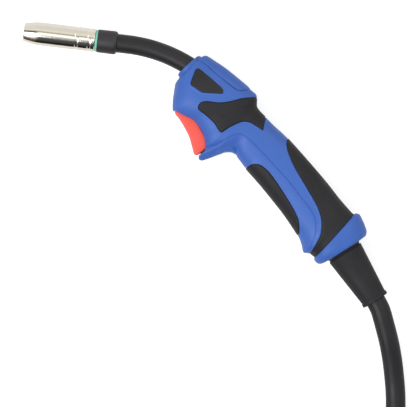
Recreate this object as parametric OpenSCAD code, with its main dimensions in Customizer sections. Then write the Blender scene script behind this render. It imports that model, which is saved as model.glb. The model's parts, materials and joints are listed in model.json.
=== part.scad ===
// Gas-cooled MIG welding torch, lying on its side on a bench. Nozzle towards -X, top of the torch
// towards +Y, +Z up from the bench. Millimetres.

/* [Nozzle] */
// Outside diameter of the gas nozzle
nozzle_d = 18; // [17:0.5:20]
// Outside diameter of the nozzle at its mouth
nozzle_mouth_d = 14; // [13.5:0.5:16]
// Bore of the nozzle at its mouth
nozzle_bore_d = 12; // [10.5:0.5:12.5]
// Length of the gas nozzle
nozzle_length = 55.6; // [50:0.2:64]
// Length of the nozzle's taper
nozzle_taper = 12.4; // [9:0.2:16]
// Wall of the nozzle behind the taper
nozzle_wall = 1.5; // [1.2:0.1:1.7]
// How far the contact tip sits inside the mouth
tip_recess = 4.5; // [2:0.5:8]
// Wire bore of the contact tip
wire_bore_d = 0.9; // [0.8:0.1:1.2]

/* [Neck] */
// Bend radius of the neck, at its centre line
neck_radius = 114; // [105:1:125]
// Angle through which the neck bends
neck_angle = 45; // [40:1:50]
// Outside diameter of the neck's black jacket
neck_d = 14.5; // [13:0.5:15.5]
// Outside diameter of the neck's conductor tube
neck_tube_d = 9.8; // [9:0.2:10.4]
// Bare straight of the neck between the sleeve and the bend
neck_straight = 8.4; // [6:0.2:12]
// Outside diameter of the sleeve behind the nozzle
sleeve_d = 18; // [17:0.5:20]
// Length of the sleeve
sleeve_length = 15.6; // [12:0.2:20]

/* [Handle] */
// Width of the handle at the head, across the two shells
head_w = 38; // [35:1:41]
// Width of the handle at the grip
grip_w = 36; // [34:1:40]
// Width of the handle at its rear end
rear_w = 40; // [37:1:43]
// Wall of the shells
shell_wall = 3; // [2.6:0.1:3.4]
// Depth to which the soft pads are let into the shells
pad_depth = 1.3; // [1:0.1:1.5]
// How far the soft pads stand proud of the shells
pad_proud = 0.4; // [0.2:0.1:0.7]
// Thickness of the cover along the top ridge
cover_t = 2; // [1.6:0.1:2.2]
// Diameter of the handle's screws
screw_d = 3; // [2.5:0.5:3.5]

/* [Trigger] */
// Width of the trigger
trigger_w = 16; // [14:0.5:17]
// Angle through which the trigger is pulled
trigger_travel = 5; // [3:0.5:6]
// Diameter of the trigger's hinge pin
trigger_pin_d = 3; // [2.5:0.5:3.5]

/* [Ball joint and boot] */
// Diameter of the swivel ball
ball_d = 33; // [32:0.5:33.5]
// Outside diameter of the rear ring's lip
ring_exit_d = 31.4; // [31:0.2:31.8]
// Angle of the swivel to each side
swivel_angle = 7.5; // [4:0.5:8]
// Diameter of the strain relief boot at its base
boot_d = 29; // [28.5:0.5:29.5]
// Diameter of the boot at its end
boot_end_d = 20.5; // [19:0.5:23]
// Length of the boot
boot_length = 45.5; // [40:0.5:54]

/* [Cable] */
// Outside diameter of the torch cable
cable_d = 15.5; // [14:0.5:15.5]

/* [Connector] */
// Outside diameter of the connector's nut
nut_d = 47.5; // [47:0.5:50]
// Length of the connector's nut
nut_length = 30; // [26:1:34]
// Outside diameter of the connector's rear housing
housing_d = 36; // [34:1:38]
// Length of the connector's rear housing
housing_length = 50; // [46:1:60]
// Diameter of the power pin
power_pin_d = 10; // [9:0.5:11]
// How far the power pin stands out of the connector's block
power_pin_length = 26; // [22:1:32]
// Spacing of the two pilot pins
pilot_spacing = 20; // [18:1:22]

/* [Hidden] */

// Colours
blue = [0.26, 0.41, 0.74];
black = [0.15, 0.15, 0.16];
red = [0.95, 0.30, 0.26];
nickel = [0.82, 0.80, 0.75];
copper = [0.76, 0.45, 0.30];
brass = [0.78, 0.64, 0.33];
steel = [0.62, 0.63, 0.65];
teal = [0.45, 0.80, 0.72];

// Clearances
slide_gap = 0.3;
fit_gap = 0.1;
pad_gap = 0.15;
trigger_gap = 0.5;
seat_gap = 0.4;
round_fn = 64;
seat_fn = 28;

// Grip axis: from the neck's foot to the centre of the ball, in the torch's own plane
grip_angle = -45;
neck_foot = [10.2, 52];
grip_axis_length = 140;
grip_dir = [cos(grip_angle), sin(grip_angle)];
ball_centre = neck_foot + grip_axis_length * grip_dir;
boot_angle = -50.5;

// The handle is drawn for one axis length; a longer or shorter one stretches it along the grip
drawn_axis_length = 140;
stretch_from = 40;
stretch_to = 110;
function grip_shift(p) = (grip_axis_length - drawn_axis_length) * grip_dir
  * min(max(((p - neck_foot) * grip_dir - stretch_from) / (stretch_to - stretch_from), 0), 1);
function on_grip(p) = p + grip_shift(p);
function grip_outline(points) = [for (p = points) on_grip(p)];
function grip_stations(list) = [for (s = list) let(
    top = on_grip([s[0], s[1]]),
    bottom = on_grip([s[2], s[3]]))
  [top[0], top[1], bottom[0], bottom[1], s[4], s[5]]];

boot_dir = [cos(boot_angle), sin(boot_angle)];

// Neck: centre of its bend, and the stations of the head along its axis (behind the nozzle = +)
neck_centre = neck_foot + neck_radius * [cos(225), sin(225)];
sleeve_rear = -neck_straight;
sleeve_front = sleeve_rear - sleeve_length;
insulator_flange = 1.5;
insulator_front = sleeve_front - insulator_flange;
nozzle_rear = insulator_front - slide_gap;
mouth_x = nozzle_rear - nozzle_length;
tip_end = mouth_x + tip_recess;
tube_front = sleeve_front - 14;
diffuser_rear = sleeve_front - 7.8;
diffuser_front = sleeve_front - 32;
diffuser_r = nozzle_d / 2 - nozzle_wall - 1.6;
spring_wire_r = 0.45;
tip_r = 4;
tip_thread_r = 3;
tip_thread_length = 9;
gas_bore_r = 2.5;
liner_r = 1.9;
liner_bore_r = 1;
head_tilt = neck_angle + grip_angle;
mouth = neck_centre + neck_radius * [-sin(head_tilt), cos(head_tilt)]
        + mouth_x * [cos(head_tilt), sin(head_tilt)];

// Ball joint and boot, measured from the ball's centre along the boot
exit_plane = 7.9;
boot_start = exit_plane + 0.6;
boot_end = boot_start + boot_length;
lip_d = boot_end_d + 1.3;
cable_room_r = 11.5;
ball_cut = 0.28;
// Its waist keeps the boot clear of the ring's lip over the whole swivel
waist_x = boot_start + 1.55;
waist_r = sqrt(pow(ball_d / 2 + 0.15, 2) - pow(waist_x, 2));
boot_tip = ball_centre + boot_end * boot_dir;

// The torch lies on its widest part; its origin is under the middle of its box, without the cable
rest_z = max(head_w, grip_w, rear_w) / 2;
x_front = mouth[0] - nozzle_mouth_d / 2 * abs(sin(head_tilt));
x_back = boot_tip[0] - lip_d / 2 * sin(boot_angle);
y_top = neck_centre[1] + neck_radius + max(sleeve_d, nozzle_d) / 2;
y_low = boot_tip[1] - lip_d / 2 * cos(boot_angle);
frame_shift = [-(x_front + x_back) / 2, -(y_top + y_low) / 2, rest_z];

// Handle, as sections from the neck to the ball joint:
// [top x, top y, bottom x, bottom y, half width, roundness of the section]
head_hw = head_w / 2;
grip_hw = grip_w / 2;
rear_hw = rear_w / 2;
handle_stations = grip_stations([
  [-17.2, 81.4, -28.5, 68.5, 8.6, 2],
  [-15, 83, -29.2, 66.5, 10.8, 2],
  [-12.5, 82.4, -28, 64.8, 11.4, 2],
  [-9.5, 83.8, -30.2, 60.5, 0.71 * head_hw, 2.1],
  [-1.5, 80.2, -30.8, 54.5, 0.84 * head_hw, 2.3],
  [4.5, 77.3, -30.9, 48, 0.92 * head_hw, 2.5],
  [10.5, 73.8, -30.2, 39.5, 0.97 * head_hw, 2.6],
  [19, 68.4, -22.9, 35.2, head_hw, 2.6],
  [25, 64.2, -14.8, 32.6, head_hw, 2.6],
  [28.8, 61.4, -9.1, 27.7, head_hw, 2.6],
  [33.2, 57.7, -4.5, 20.5, head_hw, 2.6],
  [34, 50, -1.5, 13, 0.98 * head_hw, 2.6],
  [42, 42.1, 8, 11.6, 0.97 * head_hw, 2.6],
  [46, 39, 18, 11.8, 0.96 * head_hw, 2.6],
  [49.6, 36.2, 24, 7.6, grip_hw, 2.6],
  [57.6, 30.5, 30.8, 1.5, grip_hw, 2.6],
  [71.7, 18.5, 43.3, -9.7, grip_hw, 2.6],
  [84.8, 6.7, 56, -21.9, grip_hw, 2.6],
  [96.5, -4.2, 66.7, -32.8, 0.6 * grip_hw + 0.4 * rear_hw, 2.6],
  [106, -13.8, 74.6, -42, 0.4 * grip_hw + 0.6 * rear_hw, 2.5],
  [110, -17.5, 79.2, -48, 0.97 * rear_hw, 2.4],
  [113, -20.2, 81.8, -53, 0.975 * rear_hw, 2.4],
  [115.3, -22.2, 84.8, -58, 0.975 * rear_hw, 2.4],
  [117, -23.6, 88.3, -58.8, 0.975 * rear_hw, 2.4],
  [118.5, -24.6, 92.8, -60.7, 0.975 * rear_hw, 2.4]
]);
cavity_first = 4;
cavity_last = 21;

// Finger stop under the trigger, in the same form
horn_stations = [
  [-5.2, 5.8, -4.6, 3.2, 3.5, 2],
  [-3.6, 8.4, -2.6, 2.8, 7, 2],
  [-0.5, 11.2, 1.4, 4.2, 10, 2.2],
  [4, 14.5, 6, 6.7, 12.5, 2.3],
  [11, 18, 12, 9.4, 14.5, 2.4],
  [18, 21, 18.6, 11.6, 15.5, 2.4]
];

// Rear ring: a wedge from the shells' end to the round lip that holds the ball
lip_mid = ball_centre + exit_plane * boot_dir;
lip_side = ring_exit_d / 2 * [-sin(boot_angle), cos(boot_angle)];
ring_stations = concat(grip_stations([
  [118.5, -24.6, 92.8, -60.7, 0.975 * rear_hw, 2.4],
  [122.3, -23.5, 93.2, -63.8, rear_hw, 2.4],
  [126.1, -28, 94.8, -65.2, 0.98 * rear_hw, 2.4],
  [128.8, -32.8, 96.5, -65.8, 0.95 * rear_hw, 2.3],
  [130.4, -37, 98.5, -65.5, 0.91 * rear_hw, 2.2],
  [130.1, -39.7, 100.2, -64.6, 0.86 * rear_hw, 2.1],
  [128.2, -41.3, 101.6, -63.4, 0.8 * rear_hw, 2]
]), [
  [lip_mid[0] + lip_side[0], lip_mid[1] + lip_side[1],
   lip_mid[0] - lip_side[0], lip_mid[1] - lip_side[1], ring_exit_d / 2, 2]
]);

// Outlines of the soft pads, the name plate and the ridge cover, seen from the torch's left side
shoulder_outline = [
  [-10.8, 43], [-9.6, 46.4], [-6.5, 48.2], [-2, 48.6], [5, 48.7], [13.2, 50.6], [22.8, 54.4],
  [33, 56.4], [45, 58], [52, 42], [42.2, 42], [41.2, 31.1], [35.1, 34.1], [30.2, 36.2],
  [26.7, 36.3], [23, 35.3], [15.6, 30.7], [11.1, 26.8], [9.3, 25.9], [7.3, 27], [3.8, 31.5],
  [0, 34.7], [-5, 38], [-9.6, 40.7]
];
finger_outline = grip_outline([
  [22, -4], [30.9, 0.7], [33, 2.6], [35.7, 4.3], [38.8, 5], [42, 4.8], [45.3, 3.3], [51.2, -1.3],
  [60.2, -11.4], [68.8, -22], [75.5, -31.8], [77.4, -37.2], [78.2, -42], [77.6, -46], [66, -62],
  [30, -30]
]);
palm_outline = grip_outline([
  [66, 40], [60.8, 28], [60.2, 24.5], [60.8, 20.8], [63, 15.2], [68.7, 5.5], [78.8, -7.7],
  [88.1, -20.2], [91.3, -25.7], [93.2, -30.2], [94.4, -36], [94.4, -43], [93.1, -47.5],
  [91, -53], [88.6, -58], [90, -68], [130, -30], [140, -8]
]);
plate_outline = [[-16.8, 73.8], [7.6, 59.4], [5.6, 55.3], [-10.6, 54.1], [-19.3, 59.4]];
plate_round = 1.6;
cover_outline = [
  [-14.2, 77.4], [-10.5, 76.8], [0.7, 70.7], [8.7, 65.6], [15.2, 61.3], [19.2, 59.8],
  [24.3, 60.6], [30, 61.2], [30, 90], [-14.2, 90]
];

// Trigger: blade, web and pivot, in the torch's plane
trigger_pivot = [-19, 43.5];
trigger_outline = [
  [-27.8, 39.2], [-28.2, 37.6], [-27.4, 35.9], [-23.6, 32.1], [-18.9, 26], [-14.9, 19.8],
  [-12.6, 14.5], [-10.9, 10.2], [-9.8, 7.4], [-8.2, 6.6], [-6.4, 7], [-2.6, 10.4], [-0.6, 13.5],
  [0.5, 17], [-14, 37.5], [-16, 41], [-22.5, 43], [-25.5, 41]
];
trigger_boss_r = 3.4;

// Microswitch behind the trigger's web, square to it
web_angle = 35.3;
web_dir = [cos(web_angle), sin(web_angle)];
switch_reach = 17;
web_offset = 0.72;
plunger_foot = trigger_pivot + switch_reach * [sin(web_angle), -cos(web_angle)] + web_offset * web_dir;
switch_size = [10, 20, 6.4];
switch_offset = 2.6;
plunger_r = 1.3;
plunger_in = 2.4;
plunger_hole = 5;
frame_t = 1.5;
peg_r = 1.15;
peg_spots = [-5, 5];
// The switch's twin wire: x, y, z of one core, and how far the other lies from it
wire_r = 0.8;
wire_route = [
  [3.6, 23.4, 0, 1.2, 0.6], [8.4, 24.6, 2, 0, 1.6], [16, 25, 5.6, 0, 2], [27, 23.6, 9.8, 0, 2],
  [40, 19.5, 10.6, 0, 2], [52, 9.6, 9.4, 0, 2], [70, -7, 8.9, 0, 2], [92, -29, 8.9, 0, 2]
];
cheek_outline = [
  [-22.2, 42], [-22, 46], [-18, 47], [-2.4, 45.6], [8, 30.9], [4.4, 25.2], [2.4, 25], [-1.9, 30.6],
  [-7, 36.8], [-14, 40.9], [-19, 40.4]
];
frame_posts = [[-12, 43.3], [-0.5, 35.5]];

// Screws through the right shell into the left one
screw_points = grip_outline([[21.6, 56.9], [68.8, 11], [49.2, -4.6], [101.8, -22]]);
screw_boss_r = 3.2;
rib_t = 2;
block_ribs = [7, 20];
cable_ribs = [64, 96, 120];
screw_head_d = 5.2;
screw_head_h = 2.4;
screw_tip_z = 9;
screw_seat_z = -8;

// Connector and coil. The cable leaves the boot, comes down to the bench and is coiled there.
cable_r = cable_d / 2;
cable_lift = cable_r;
plug_z = nut_d / 2;
coil_centre = [67, -304];
coil_out_r = 105;
coil_pitch = 16.2;
coil_turns = 5.25;
coil_sides = 6;
coil_rings = 24;
coil_start_run = 16;
coil_end_run = 40;
coil_rise = plug_z - cable_lift;
cable_route = [
  [147.8, -94.9, 19.8], [151.6, -103.4, 19], [158, -119.6, 16.2], [162.3, -133, 12.7],
  [165.6, -146, 9.7], [168, -157.5, 8.3], [169.6, -168.7, 7.9], [171, -186, 7.75],
  [171.8, -206, 7.75], [172, -230, 7.75], [172, -260, 7.75]
];
cable_sides = 10;
plug_x = coil_centre[0] - coil_end_run;
plug_y = coil_centre[1] - coil_out_r;
plug_boot_length = 30;

// ---------- helpers ----------

module lying() translate(frame_shift) children();
module at_head() translate(neck_centre) rotate([0, 0, head_tilt]) translate([0, neck_radius, 0]) children();
module at_foot() translate(neck_foot) rotate([0, 0, grip_angle]) children();
module at_ball() translate(ball_centre) rotate([0, 0, boot_angle]) children();
module at_plug() translate([plug_x, plug_y, plug_z]) rotate([0, 0, 180]) children();
module along_x() rotate([0, 90, 0]) children();

// A round bar or, with a bore, a tube, from x = from to x = to
module bar(from, to, r, bore = 0, fn = round_fn) {
  along_x() difference() {
    translate([0, 0, from]) cylinder(r = r, h = to - from, $fn = fn);
    if (bore > 0) translate([0, 0, from - 1]) cylinder(r = bore, h = to - from + 2, $fn = fn);
  }
}

// A turned piece about the X axis: profile points are [x, r]
module turned(profile) {
  along_x() rotate_extrude($fn = round_fn) polygon([for (p = profile) [p[1], p[0]]]);
}

// One mesh of what it holds, its shape unchanged
module one_mesh() minkowski() children();

function power(v, e) = sign(v) * pow(abs(v), e);
function smooth(t) = let(u = min(max(t, 0), 1)) u * u * (3 - 2 * u);

// Half a section of a shell, from its top, round the +Z side, to its bottom
function section(s, grow, n) = let(
    c = [s[0] + s[2], s[1] + s[3]] / 2,
    d = [s[0] - s[2], s[1] - s[3]],
    u = d / norm(d),
    h = norm(d) / 2 + grow,
    w = s[4] + grow,
    e = 2 / s[5])
  [for (j = [0 : n]) let(a = 180 * j / n)
    [c[0] + u[0] * h * power(cos(a), e), c[1] + u[1] * h * power(cos(a), e), w * power(sin(a), e)]];

function skin(rows, m) = concat(
  [for (i = [0 : rows - 2]) for (j = [0 : m - 1])
    [i * m + j, (i + 1) * m + j, i * m + (j + 1) % m]],
  [for (i = [0 : rows - 2]) for (j = [0 : m - 1])
    [i * m + (j + 1) % m, (i + 1) * m + j, (i + 1) * m + (j + 1) % m]],
  [for (j = [1 : m - 2]) [0, j, j + 1]],
  [for (j = [1 : m - 2]) [(rows - 1) * m, (rows - 1) * m + j + 1, (rows - 1) * m + j]]);

// Solid through closed rings that all have the same number of points
module skinned(rings) polyhedron(points = [for (r = rings) each r], faces = skin(len(rings), len(rings[0])));

section_steps = 11;
module loft_half(stations, grow = 0) skinned([for (s = stations) section(s, grow, section_steps)]);
module loft(stations, grow = 0) {
  skinned([for (s = stations) let(h = section(s, grow, section_steps))
    concat(h, [for (j = [section_steps - 1 : -1 : 1]) [h[j][0], h[j][1], -h[j][2]]])]);
}

function part_of(list, from, to) = [for (i = [from : to]) list[i]];
function moved(s, by) = [s[0] + by[0], s[1] + by[1], s[2] + by[0], s[3] + by[1], s[4], s[5]];
// Stations that run on past both ends, for cutting
function run_on(list, by) = concat(
  [moved(list[0], -by * unit(mid(list[1]) - mid(list[0])))], list,
  [moved(list[len(list) - 1], by * unit(mid(list[len(list) - 1]) - mid(list[len(list) - 2])))]);
function mid(s) = [s[0] + s[2], s[1] + s[3]] / 2;
function unit(v) = v / norm(v);

// Tube of a given radius through points, square to its own line
function cross3(a, b) = [a[1] * b[2] - a[2] * b[1], a[2] * b[0] - a[0] * b[2], a[0] * b[1] - a[1] * b[0]];
function tangent(p, i) = unit(p[min(i + 1, len(p) - 1)] - p[max(i - 1, 0)]);
function tube_ring(c, t, r, sides, turn) = let(
    side = unit(cross3([0, 0, 1], t)),
    up = cross3(t, side))
  [for (k = [0 : sides - 1]) let(a = 360 * k / sides + turn) c + r * cos(a) * side + r * sin(a) * up];
module tube(path, r, sides, turn = 0, ends = undef) {
  last = len(path) - 1;
  skinned([for (i = [0 : last]) tube_ring(path[i],
    ends == undef ? tangent(path, i) : i == 0 ? ends[0] : i == last ? ends[1] : tangent(path, i),
    r, sides, turn)]);
}

// Smooth curve through points, with steps between each two
function spline(p, steps) = let(n = len(p) - 1)
  [for (i = [0 : n - 1]) for (k = [0 : steps - 1]) let(
      t = k / steps,
      a = i > 0 ? p[i - 1] : 2 * p[0] - p[1],
      b = p[i],
      c = p[i + 1],
      d = i < n - 1 ? p[i + 2] : 2 * p[n] - p[n - 1])
    0.5 * (2 * b + (c - a) * t + (2 * a - 5 * b + 4 * c - d) * t * t + (3 * b - a - 3 * c + d) * t * t * t),
   p[n]];

// ---------- head ----------

module gas_nozzle() lying() at_head() {
  r = nozzle_d / 2;
  rm = nozzle_mouth_d / 2;
  rb = nozzle_bore_d / 2;
  ri = r - nozzle_wall;
  chamfer = 0.4;
  groove_depth = 0.3;
  groove_w = 1.8;
  // a shallow groove round the nozzle, so far in front of its rear end
  groove = function (ahead) let(x = nozzle_rear - ahead) [
    [x - chamfer, r], [x, r - groove_depth], [x + groove_w, r - groove_depth], [x + groove_w + chamfer, r]
  ];
  color(nickel) turned(concat(
    [[mouth_x, rb], [mouth_x, rm - chamfer], [mouth_x + chamfer, rm],
     [mouth_x + 0.35 * nozzle_taper, rm + 0.5 * (r - rm)],
     [mouth_x + 0.7 * nozzle_taper, rm + 0.86 * (r - rm)],
     [mouth_x + nozzle_taper, r]],
    groove(15),
    groove(5.2),
    [[nozzle_rear - chamfer, r], [nozzle_rear, r - chamfer],
     [nozzle_rear, ri], [mouth_x + nozzle_taper + 3, ri], [mouth_x + 6, rb]]
  ));
}

module contact_tip() lying() at_head() color(copper) {
  bore = wire_bore_d / 2;
  thread_end = diffuser_front + tip_thread_length - 0.2;
  turned([
    [tip_end, bore], [tip_end, 0.6 * tip_r], [tip_end + 6, 0.8 * tip_r], [tip_end + 7, tip_r],
    [diffuser_front - 0.2, tip_r], [diffuser_front - 0.2, tip_thread_r], [thread_end, tip_thread_r],
    [thread_end, 1.4], [thread_end - 2.8, bore]
  ]);
}

module gas_diffuser() lying() at_head() color(brass) {
  tube_r = neck_tube_d / 2 + fit_gap;
  difference() {
    bar(diffuser_front, diffuser_rear, diffuser_r);
    bar(diffuser_front - 1, diffuser_front + tip_thread_length + 1, tip_thread_r + fit_gap);
    bar(diffuser_front + tip_thread_length, tube_front, gas_bore_r + fit_gap);
    bar(tube_front - 0.2, diffuser_rear + 1, tube_r);
    for (a = [45 : 90 : 315]) translate([diffuser_front + 12, 0, 0]) rotate([a, 0, 0])
      translate([0, 0, 1.5]) cylinder(d = 1.8, h = nozzle_d, $fn = 24);
  }
}

module nozzle_spring() lying() at_head() color(steel) {
  turns = 4;
  pitch = 1.9;
  r = diffuser_r + spring_wire_r + 0.25;
  start = diffuser_rear - 2 - turns * pitch;
  tube([for (i = [0 : turns * 10]) let(a = 36 * i)
    [start + pitch * i / 10, r * cos(a), r * sin(a)]], spring_wire_r, 6);
}

module nozzle_insulator() lying() at_head() color(teal) {
  inner = neck_tube_d / 2 + fit_gap;
  spigot_r = nozzle_d / 2 - nozzle_wall - 0.8;
  turned([
    [diffuser_rear + 0.1, inner], [diffuser_rear + 0.1, spigot_r], [insulator_front, spigot_r],
    [insulator_front, nozzle_d / 2 - 0.5], [sleeve_front, nozzle_d / 2 - 0.5], [sleeve_front, inner]
  ]);
}

module neck_sleeve() lying() at_head() color(black) {
  r = sleeve_d / 2;
  inner = neck_tube_d / 2 + fit_gap;
  turned([
    [sleeve_front, inner], [sleeve_front, r - 0.5], [sleeve_front + 0.5, r - 0.1],
    [sleeve_rear - 2.2, r + 0.1], [sleeve_rear - 1, r - 0.3], [sleeve_rear - 0.3, r - 1.2],
    [sleeve_rear, r - 1.8], [sleeve_rear, inner]
  ]);
}

// Bar or tube along the neck: a straight, and the bend with the little it runs on into the handle
module along_neck(front, run_on_angle, r, bore = 0, fn = round_fn, bend_fn = 128) at_head() {
  bar(front, 0, r, bore, fn);
  translate([0, -neck_radius, 0]) rotate([0, 0, 90]) mirror([0, 1, 0])
    rotate_extrude(angle = neck_angle + run_on_angle, $fn = bend_fn)
      translate([neck_radius, 0]) difference() {
        circle(r = r, $fn = fn);
        if (bore > 0) circle(r = bore, $fn = fn);
      }
}

module neck_tube() lying() color(copper) along_neck(tube_front, 3, neck_tube_d / 2, gas_bore_r);
module neck_insulation() lying() color(black)
  along_neck(sleeve_rear, 1.5, neck_d / 2, neck_tube_d / 2 + fit_gap);
module wire_liner() lying() color(steel)
  along_neck(diffuser_front + tip_thread_length + 0.2, 5, liner_r, liner_bore_r);

// ---------- inside the handle ----------

block_start = 4.2;
socket_end = 7;
block_end = 24;
nut_end = 32;
block_r = 9;
cable_nut_r = 8.6;
cable_meet = 1.4;

module neck_block() lying() at_foot() color(brass) difference() {
  along_x() rotate([0, 0, 30]) translate([0, 0, block_start])
    cylinder(r = block_r, h = block_end - block_start, $fn = 6);
  bar(block_start - 1, socket_end, neck_tube_d / 2 + slide_gap);
  bar(socket_end - 1, block_end + 1, gas_bore_r);
}

module cable_nut() lying() at_foot() color(steel) difference() {
  along_x() rotate([0, 0, 30]) translate([0, 0, block_end])
    cylinder(r = cable_nut_r, h = nut_end - block_end, $fn = 6);
  bar(block_end - 1, nut_end + 1, gas_bore_r);
}

module inner_cable() lying() at_foot() color(black)
  bar(nut_end, grip_axis_length - cable_meet, cable_r, gas_bore_r);

// ---------- handle ----------

module prism(outline, shrink = 0) translate([0, 0, -60]) linear_extrude(120)
  offset(delta = -shrink) polygon(outline);

// A layer of the handle between two depths under its surface
module layer(from_depth, to_depth) difference() {
  loft(handle_stations, -from_depth);
  loft(run_on(handle_stations, 3), -to_depth);
}

module rounded_plate(shrink) offset(r = plate_round - shrink) offset(delta = -plate_round) polygon(plate_outline);

module above() translate([-200, -200, 0]) cube([400, 400, 60]);

module trigger_sweep() linear_extrude(trigger_w + 2 * trigger_gap, center = true)
  offset(delta = trigger_gap) union() for (a = [0, trigger_travel / 2, trigger_travel])
    translate(trigger_pivot) rotate(a) translate(-trigger_pivot) union() {
      polygon(trigger_outline);
      translate(trigger_pivot) circle(r = trigger_boss_r, $fn = 24);
    }

// Ribs round the neck block and the cable, in the half z > 0
module ribs() intersection() {
  loft(part_of(handle_stations, cavity_first, cavity_last), 0.2 - shell_wall);
  at_foot() {
    for (x = block_ribs) translate([x, -block_r - 0.5, 0]) cube([rib_t, 40, 40]);
    for (x = cable_ribs) translate([x, -40, 0]) cube([rib_t, 80, 40]);
  }
}

module screw_bosses() intersection() {
  loft(handle_stations, -shell_wall / 2);
  for (p = screw_points) translate(p) cylinder(r = screw_boss_r, h = 60, $fn = 14);
}

module posts() intersection() {
  loft(handle_stations, -shell_wall / 2);
  for (p = frame_posts) translate([p[0], p[1], trigger_w / 2 + trigger_gap + frame_t + slide_gap])
    cylinder(r = 3, h = 40, $fn = 12);
}

// The left shell, in the half z > 0; screwed = true gives the one that the screws enter from
module shell(screwed) one_mesh() difference() {
  union() {
    difference() {
      loft_half(handle_stations);
      loft(part_of(handle_stations, cavity_first, cavity_last), -shell_wall);
    }
    loft_half(horn_stations);
    ribs();
    screw_bosses();
    posts();
  }
  // neck, cable and ball
  along_neck(0, 2, neck_d / 2 + slide_gap, 0, 20, 96);
  at_foot() {
    along_x() rotate([0, 0, 30]) cylinder(r = block_r + slide_gap, h = nut_end + 1, $fn = 6);
    bar(nut_end, grip_axis_length, cable_r + slide_gap, 0, 20);
    bar(grip_axis_length - 18, grip_axis_length, cable_room_r, 0, 20);
    // channel of the switch's wires through the ribs
    translate([cable_ribs[0] - 1, -4.5, 0]) cube([60, 7.5, cable_r + 4.5]);
  }
  translate(ball_centre) sphere(r = ball_d / 2 + seat_gap, $fn = seat_fn);
  // what sits in its outside
  difference() {
    union() {
      prism(shoulder_outline);
      prism(finger_outline);
      prism(palm_outline);
    }
    loft(run_on(handle_stations, 3), -pad_depth - pad_gap);
  }
  difference() {
    prism(cover_outline);
    loft(run_on(handle_stations, 3), -cover_t - pad_gap);
  }
  difference() {
    translate([0, 0, -1]) linear_extrude(60) rounded_plate(0);
    loft(handle_stations, -1.2);
  }
  trigger_sweep();
  // pin and screws
  translate([trigger_pivot[0], trigger_pivot[1], -1])
    cylinder(r = trigger_pin_d / 2 + 1.2, h = trigger_w / 2 + 6, $fn = 12);
  for (p = screw_points) translate([p[0], p[1], -1])
    cylinder(r = screw_d / 2 + fit_gap, h = 1 + (screwed ? 60 : screw_tip_z + 1), $fn = 14);
  if (screwed) for (p = screw_points) translate([p[0], p[1], -screw_seat_z])
    cylinder(d = screw_head_d + 2 * slide_gap, h = 60, $fn = 16);
}

module shell_left() lying() color(blue) shell(false);
module shell_right() lying() mirror([0, 0, 1]) color(blue) shell(true);

module top_cover() lying() color(blue) one_mesh() intersection() {
  prism(cover_outline, pad_gap);
  layer(0, cover_t);
}

module name_plate() one_mesh() intersection() {
  linear_extrude(60) rounded_plate(pad_gap);
  layer(-0.1, 1);
}
module name_plate_left() lying() color(black) name_plate();
module name_plate_right() lying() mirror([0, 0, 1]) color(black) name_plate();

module pad(outline) one_mesh() intersection() {
  above();
  prism(outline, pad_gap);
  layer(-pad_proud, pad_depth);
}
module shoulder_pad_left() lying() color(black) pad(shoulder_outline);
module shoulder_pad_right() lying() mirror([0, 0, 1]) color(black) pad(shoulder_outline);
module finger_pad_left() lying() color(black) pad(finger_outline);
module finger_pad_right() lying() mirror([0, 0, 1]) color(black) pad(finger_outline);
module palm_pad_left() lying() color(black) pad(palm_outline);
module palm_pad_right() lying() mirror([0, 0, 1]) color(black) pad(palm_outline);

module rear_ring() lying() color(blue) one_mesh() difference() {
  loft(ring_stations);
  translate(ball_centre) sphere(r = ball_d / 2 + seat_gap, $fn = seat_fn);
}

module handle_screws() lying() color(steel) for (p = screw_points) translate([p[0], p[1], 0]) difference() {
  union() {
    translate([0, 0, screw_seat_z - slide_gap])
      cylinder(d = screw_d, h = screw_tip_z - screw_seat_z, $fn = round_fn);
    translate([0, 0, screw_seat_z - slide_gap - screw_head_h])
      cylinder(d = screw_head_d, h = screw_head_h, $fn = round_fn);
  }
  translate([0, 0, screw_seat_z - slide_gap - screw_head_h - 1]) cylinder(d = 2.6, h = screw_head_h, $fn = 6);
}

// ---------- trigger ----------

module trigger() lying() color(red) difference() {
  union() {
    linear_extrude(trigger_w, center = true) polygon(trigger_outline);
    translate([trigger_pivot[0], trigger_pivot[1], 0])
      cylinder(r = trigger_boss_r, h = trigger_w, center = true, $fn = round_fn);
  }
  translate([trigger_pivot[0], trigger_pivot[1], 0])
    cylinder(r = trigger_pin_d / 2 + 0.05, h = trigger_w + 2, center = true, $fn = round_fn);
  // room for the spring beside the pivot
  translate([trigger_pivot[0], trigger_pivot[1], 2])
    cylinder(r = 5.2, h = 5.4, $fn = round_fn);
}

cheek_z = trigger_w / 2 + trigger_gap;

module at_switch() translate(plunger_foot) rotate([0, 0, web_angle]) children();

module trigger_frame() lying() color(black) {
  difference() {
    union() {
      for (side = [-1, 1]) translate([0, 0, side * (cheek_z + frame_t / 2)])
        linear_extrude(frame_t, center = true) polygon(cheek_outline);
      at_switch()
        translate([switch_offset + switch_size[0] + 0.1, 1 - switch_size[1] / 2, -cheek_z - frame_t / 2])
        cube([frame_t, switch_size[1] - 2, 2 * cheek_z + frame_t]);
      at_switch() for (y = peg_spots) translate([switch_offset + 7, y, 0])
        cylinder(r = peg_r, h = 2 * cheek_z + frame_t, center = true, $fn = round_fn);
    }
    translate([trigger_pivot[0], trigger_pivot[1], 0])
      cylinder(r = trigger_pin_d / 2 + 0.05, h = 4 * trigger_w, center = true, $fn = round_fn);
  }
}

module trigger_pin() lying() color(steel) translate([trigger_pivot[0], trigger_pivot[1], 0])
  cylinder(d = trigger_pin_d, h = 2 * (cheek_z + frame_t), center = true, $fn = round_fn);

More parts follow.
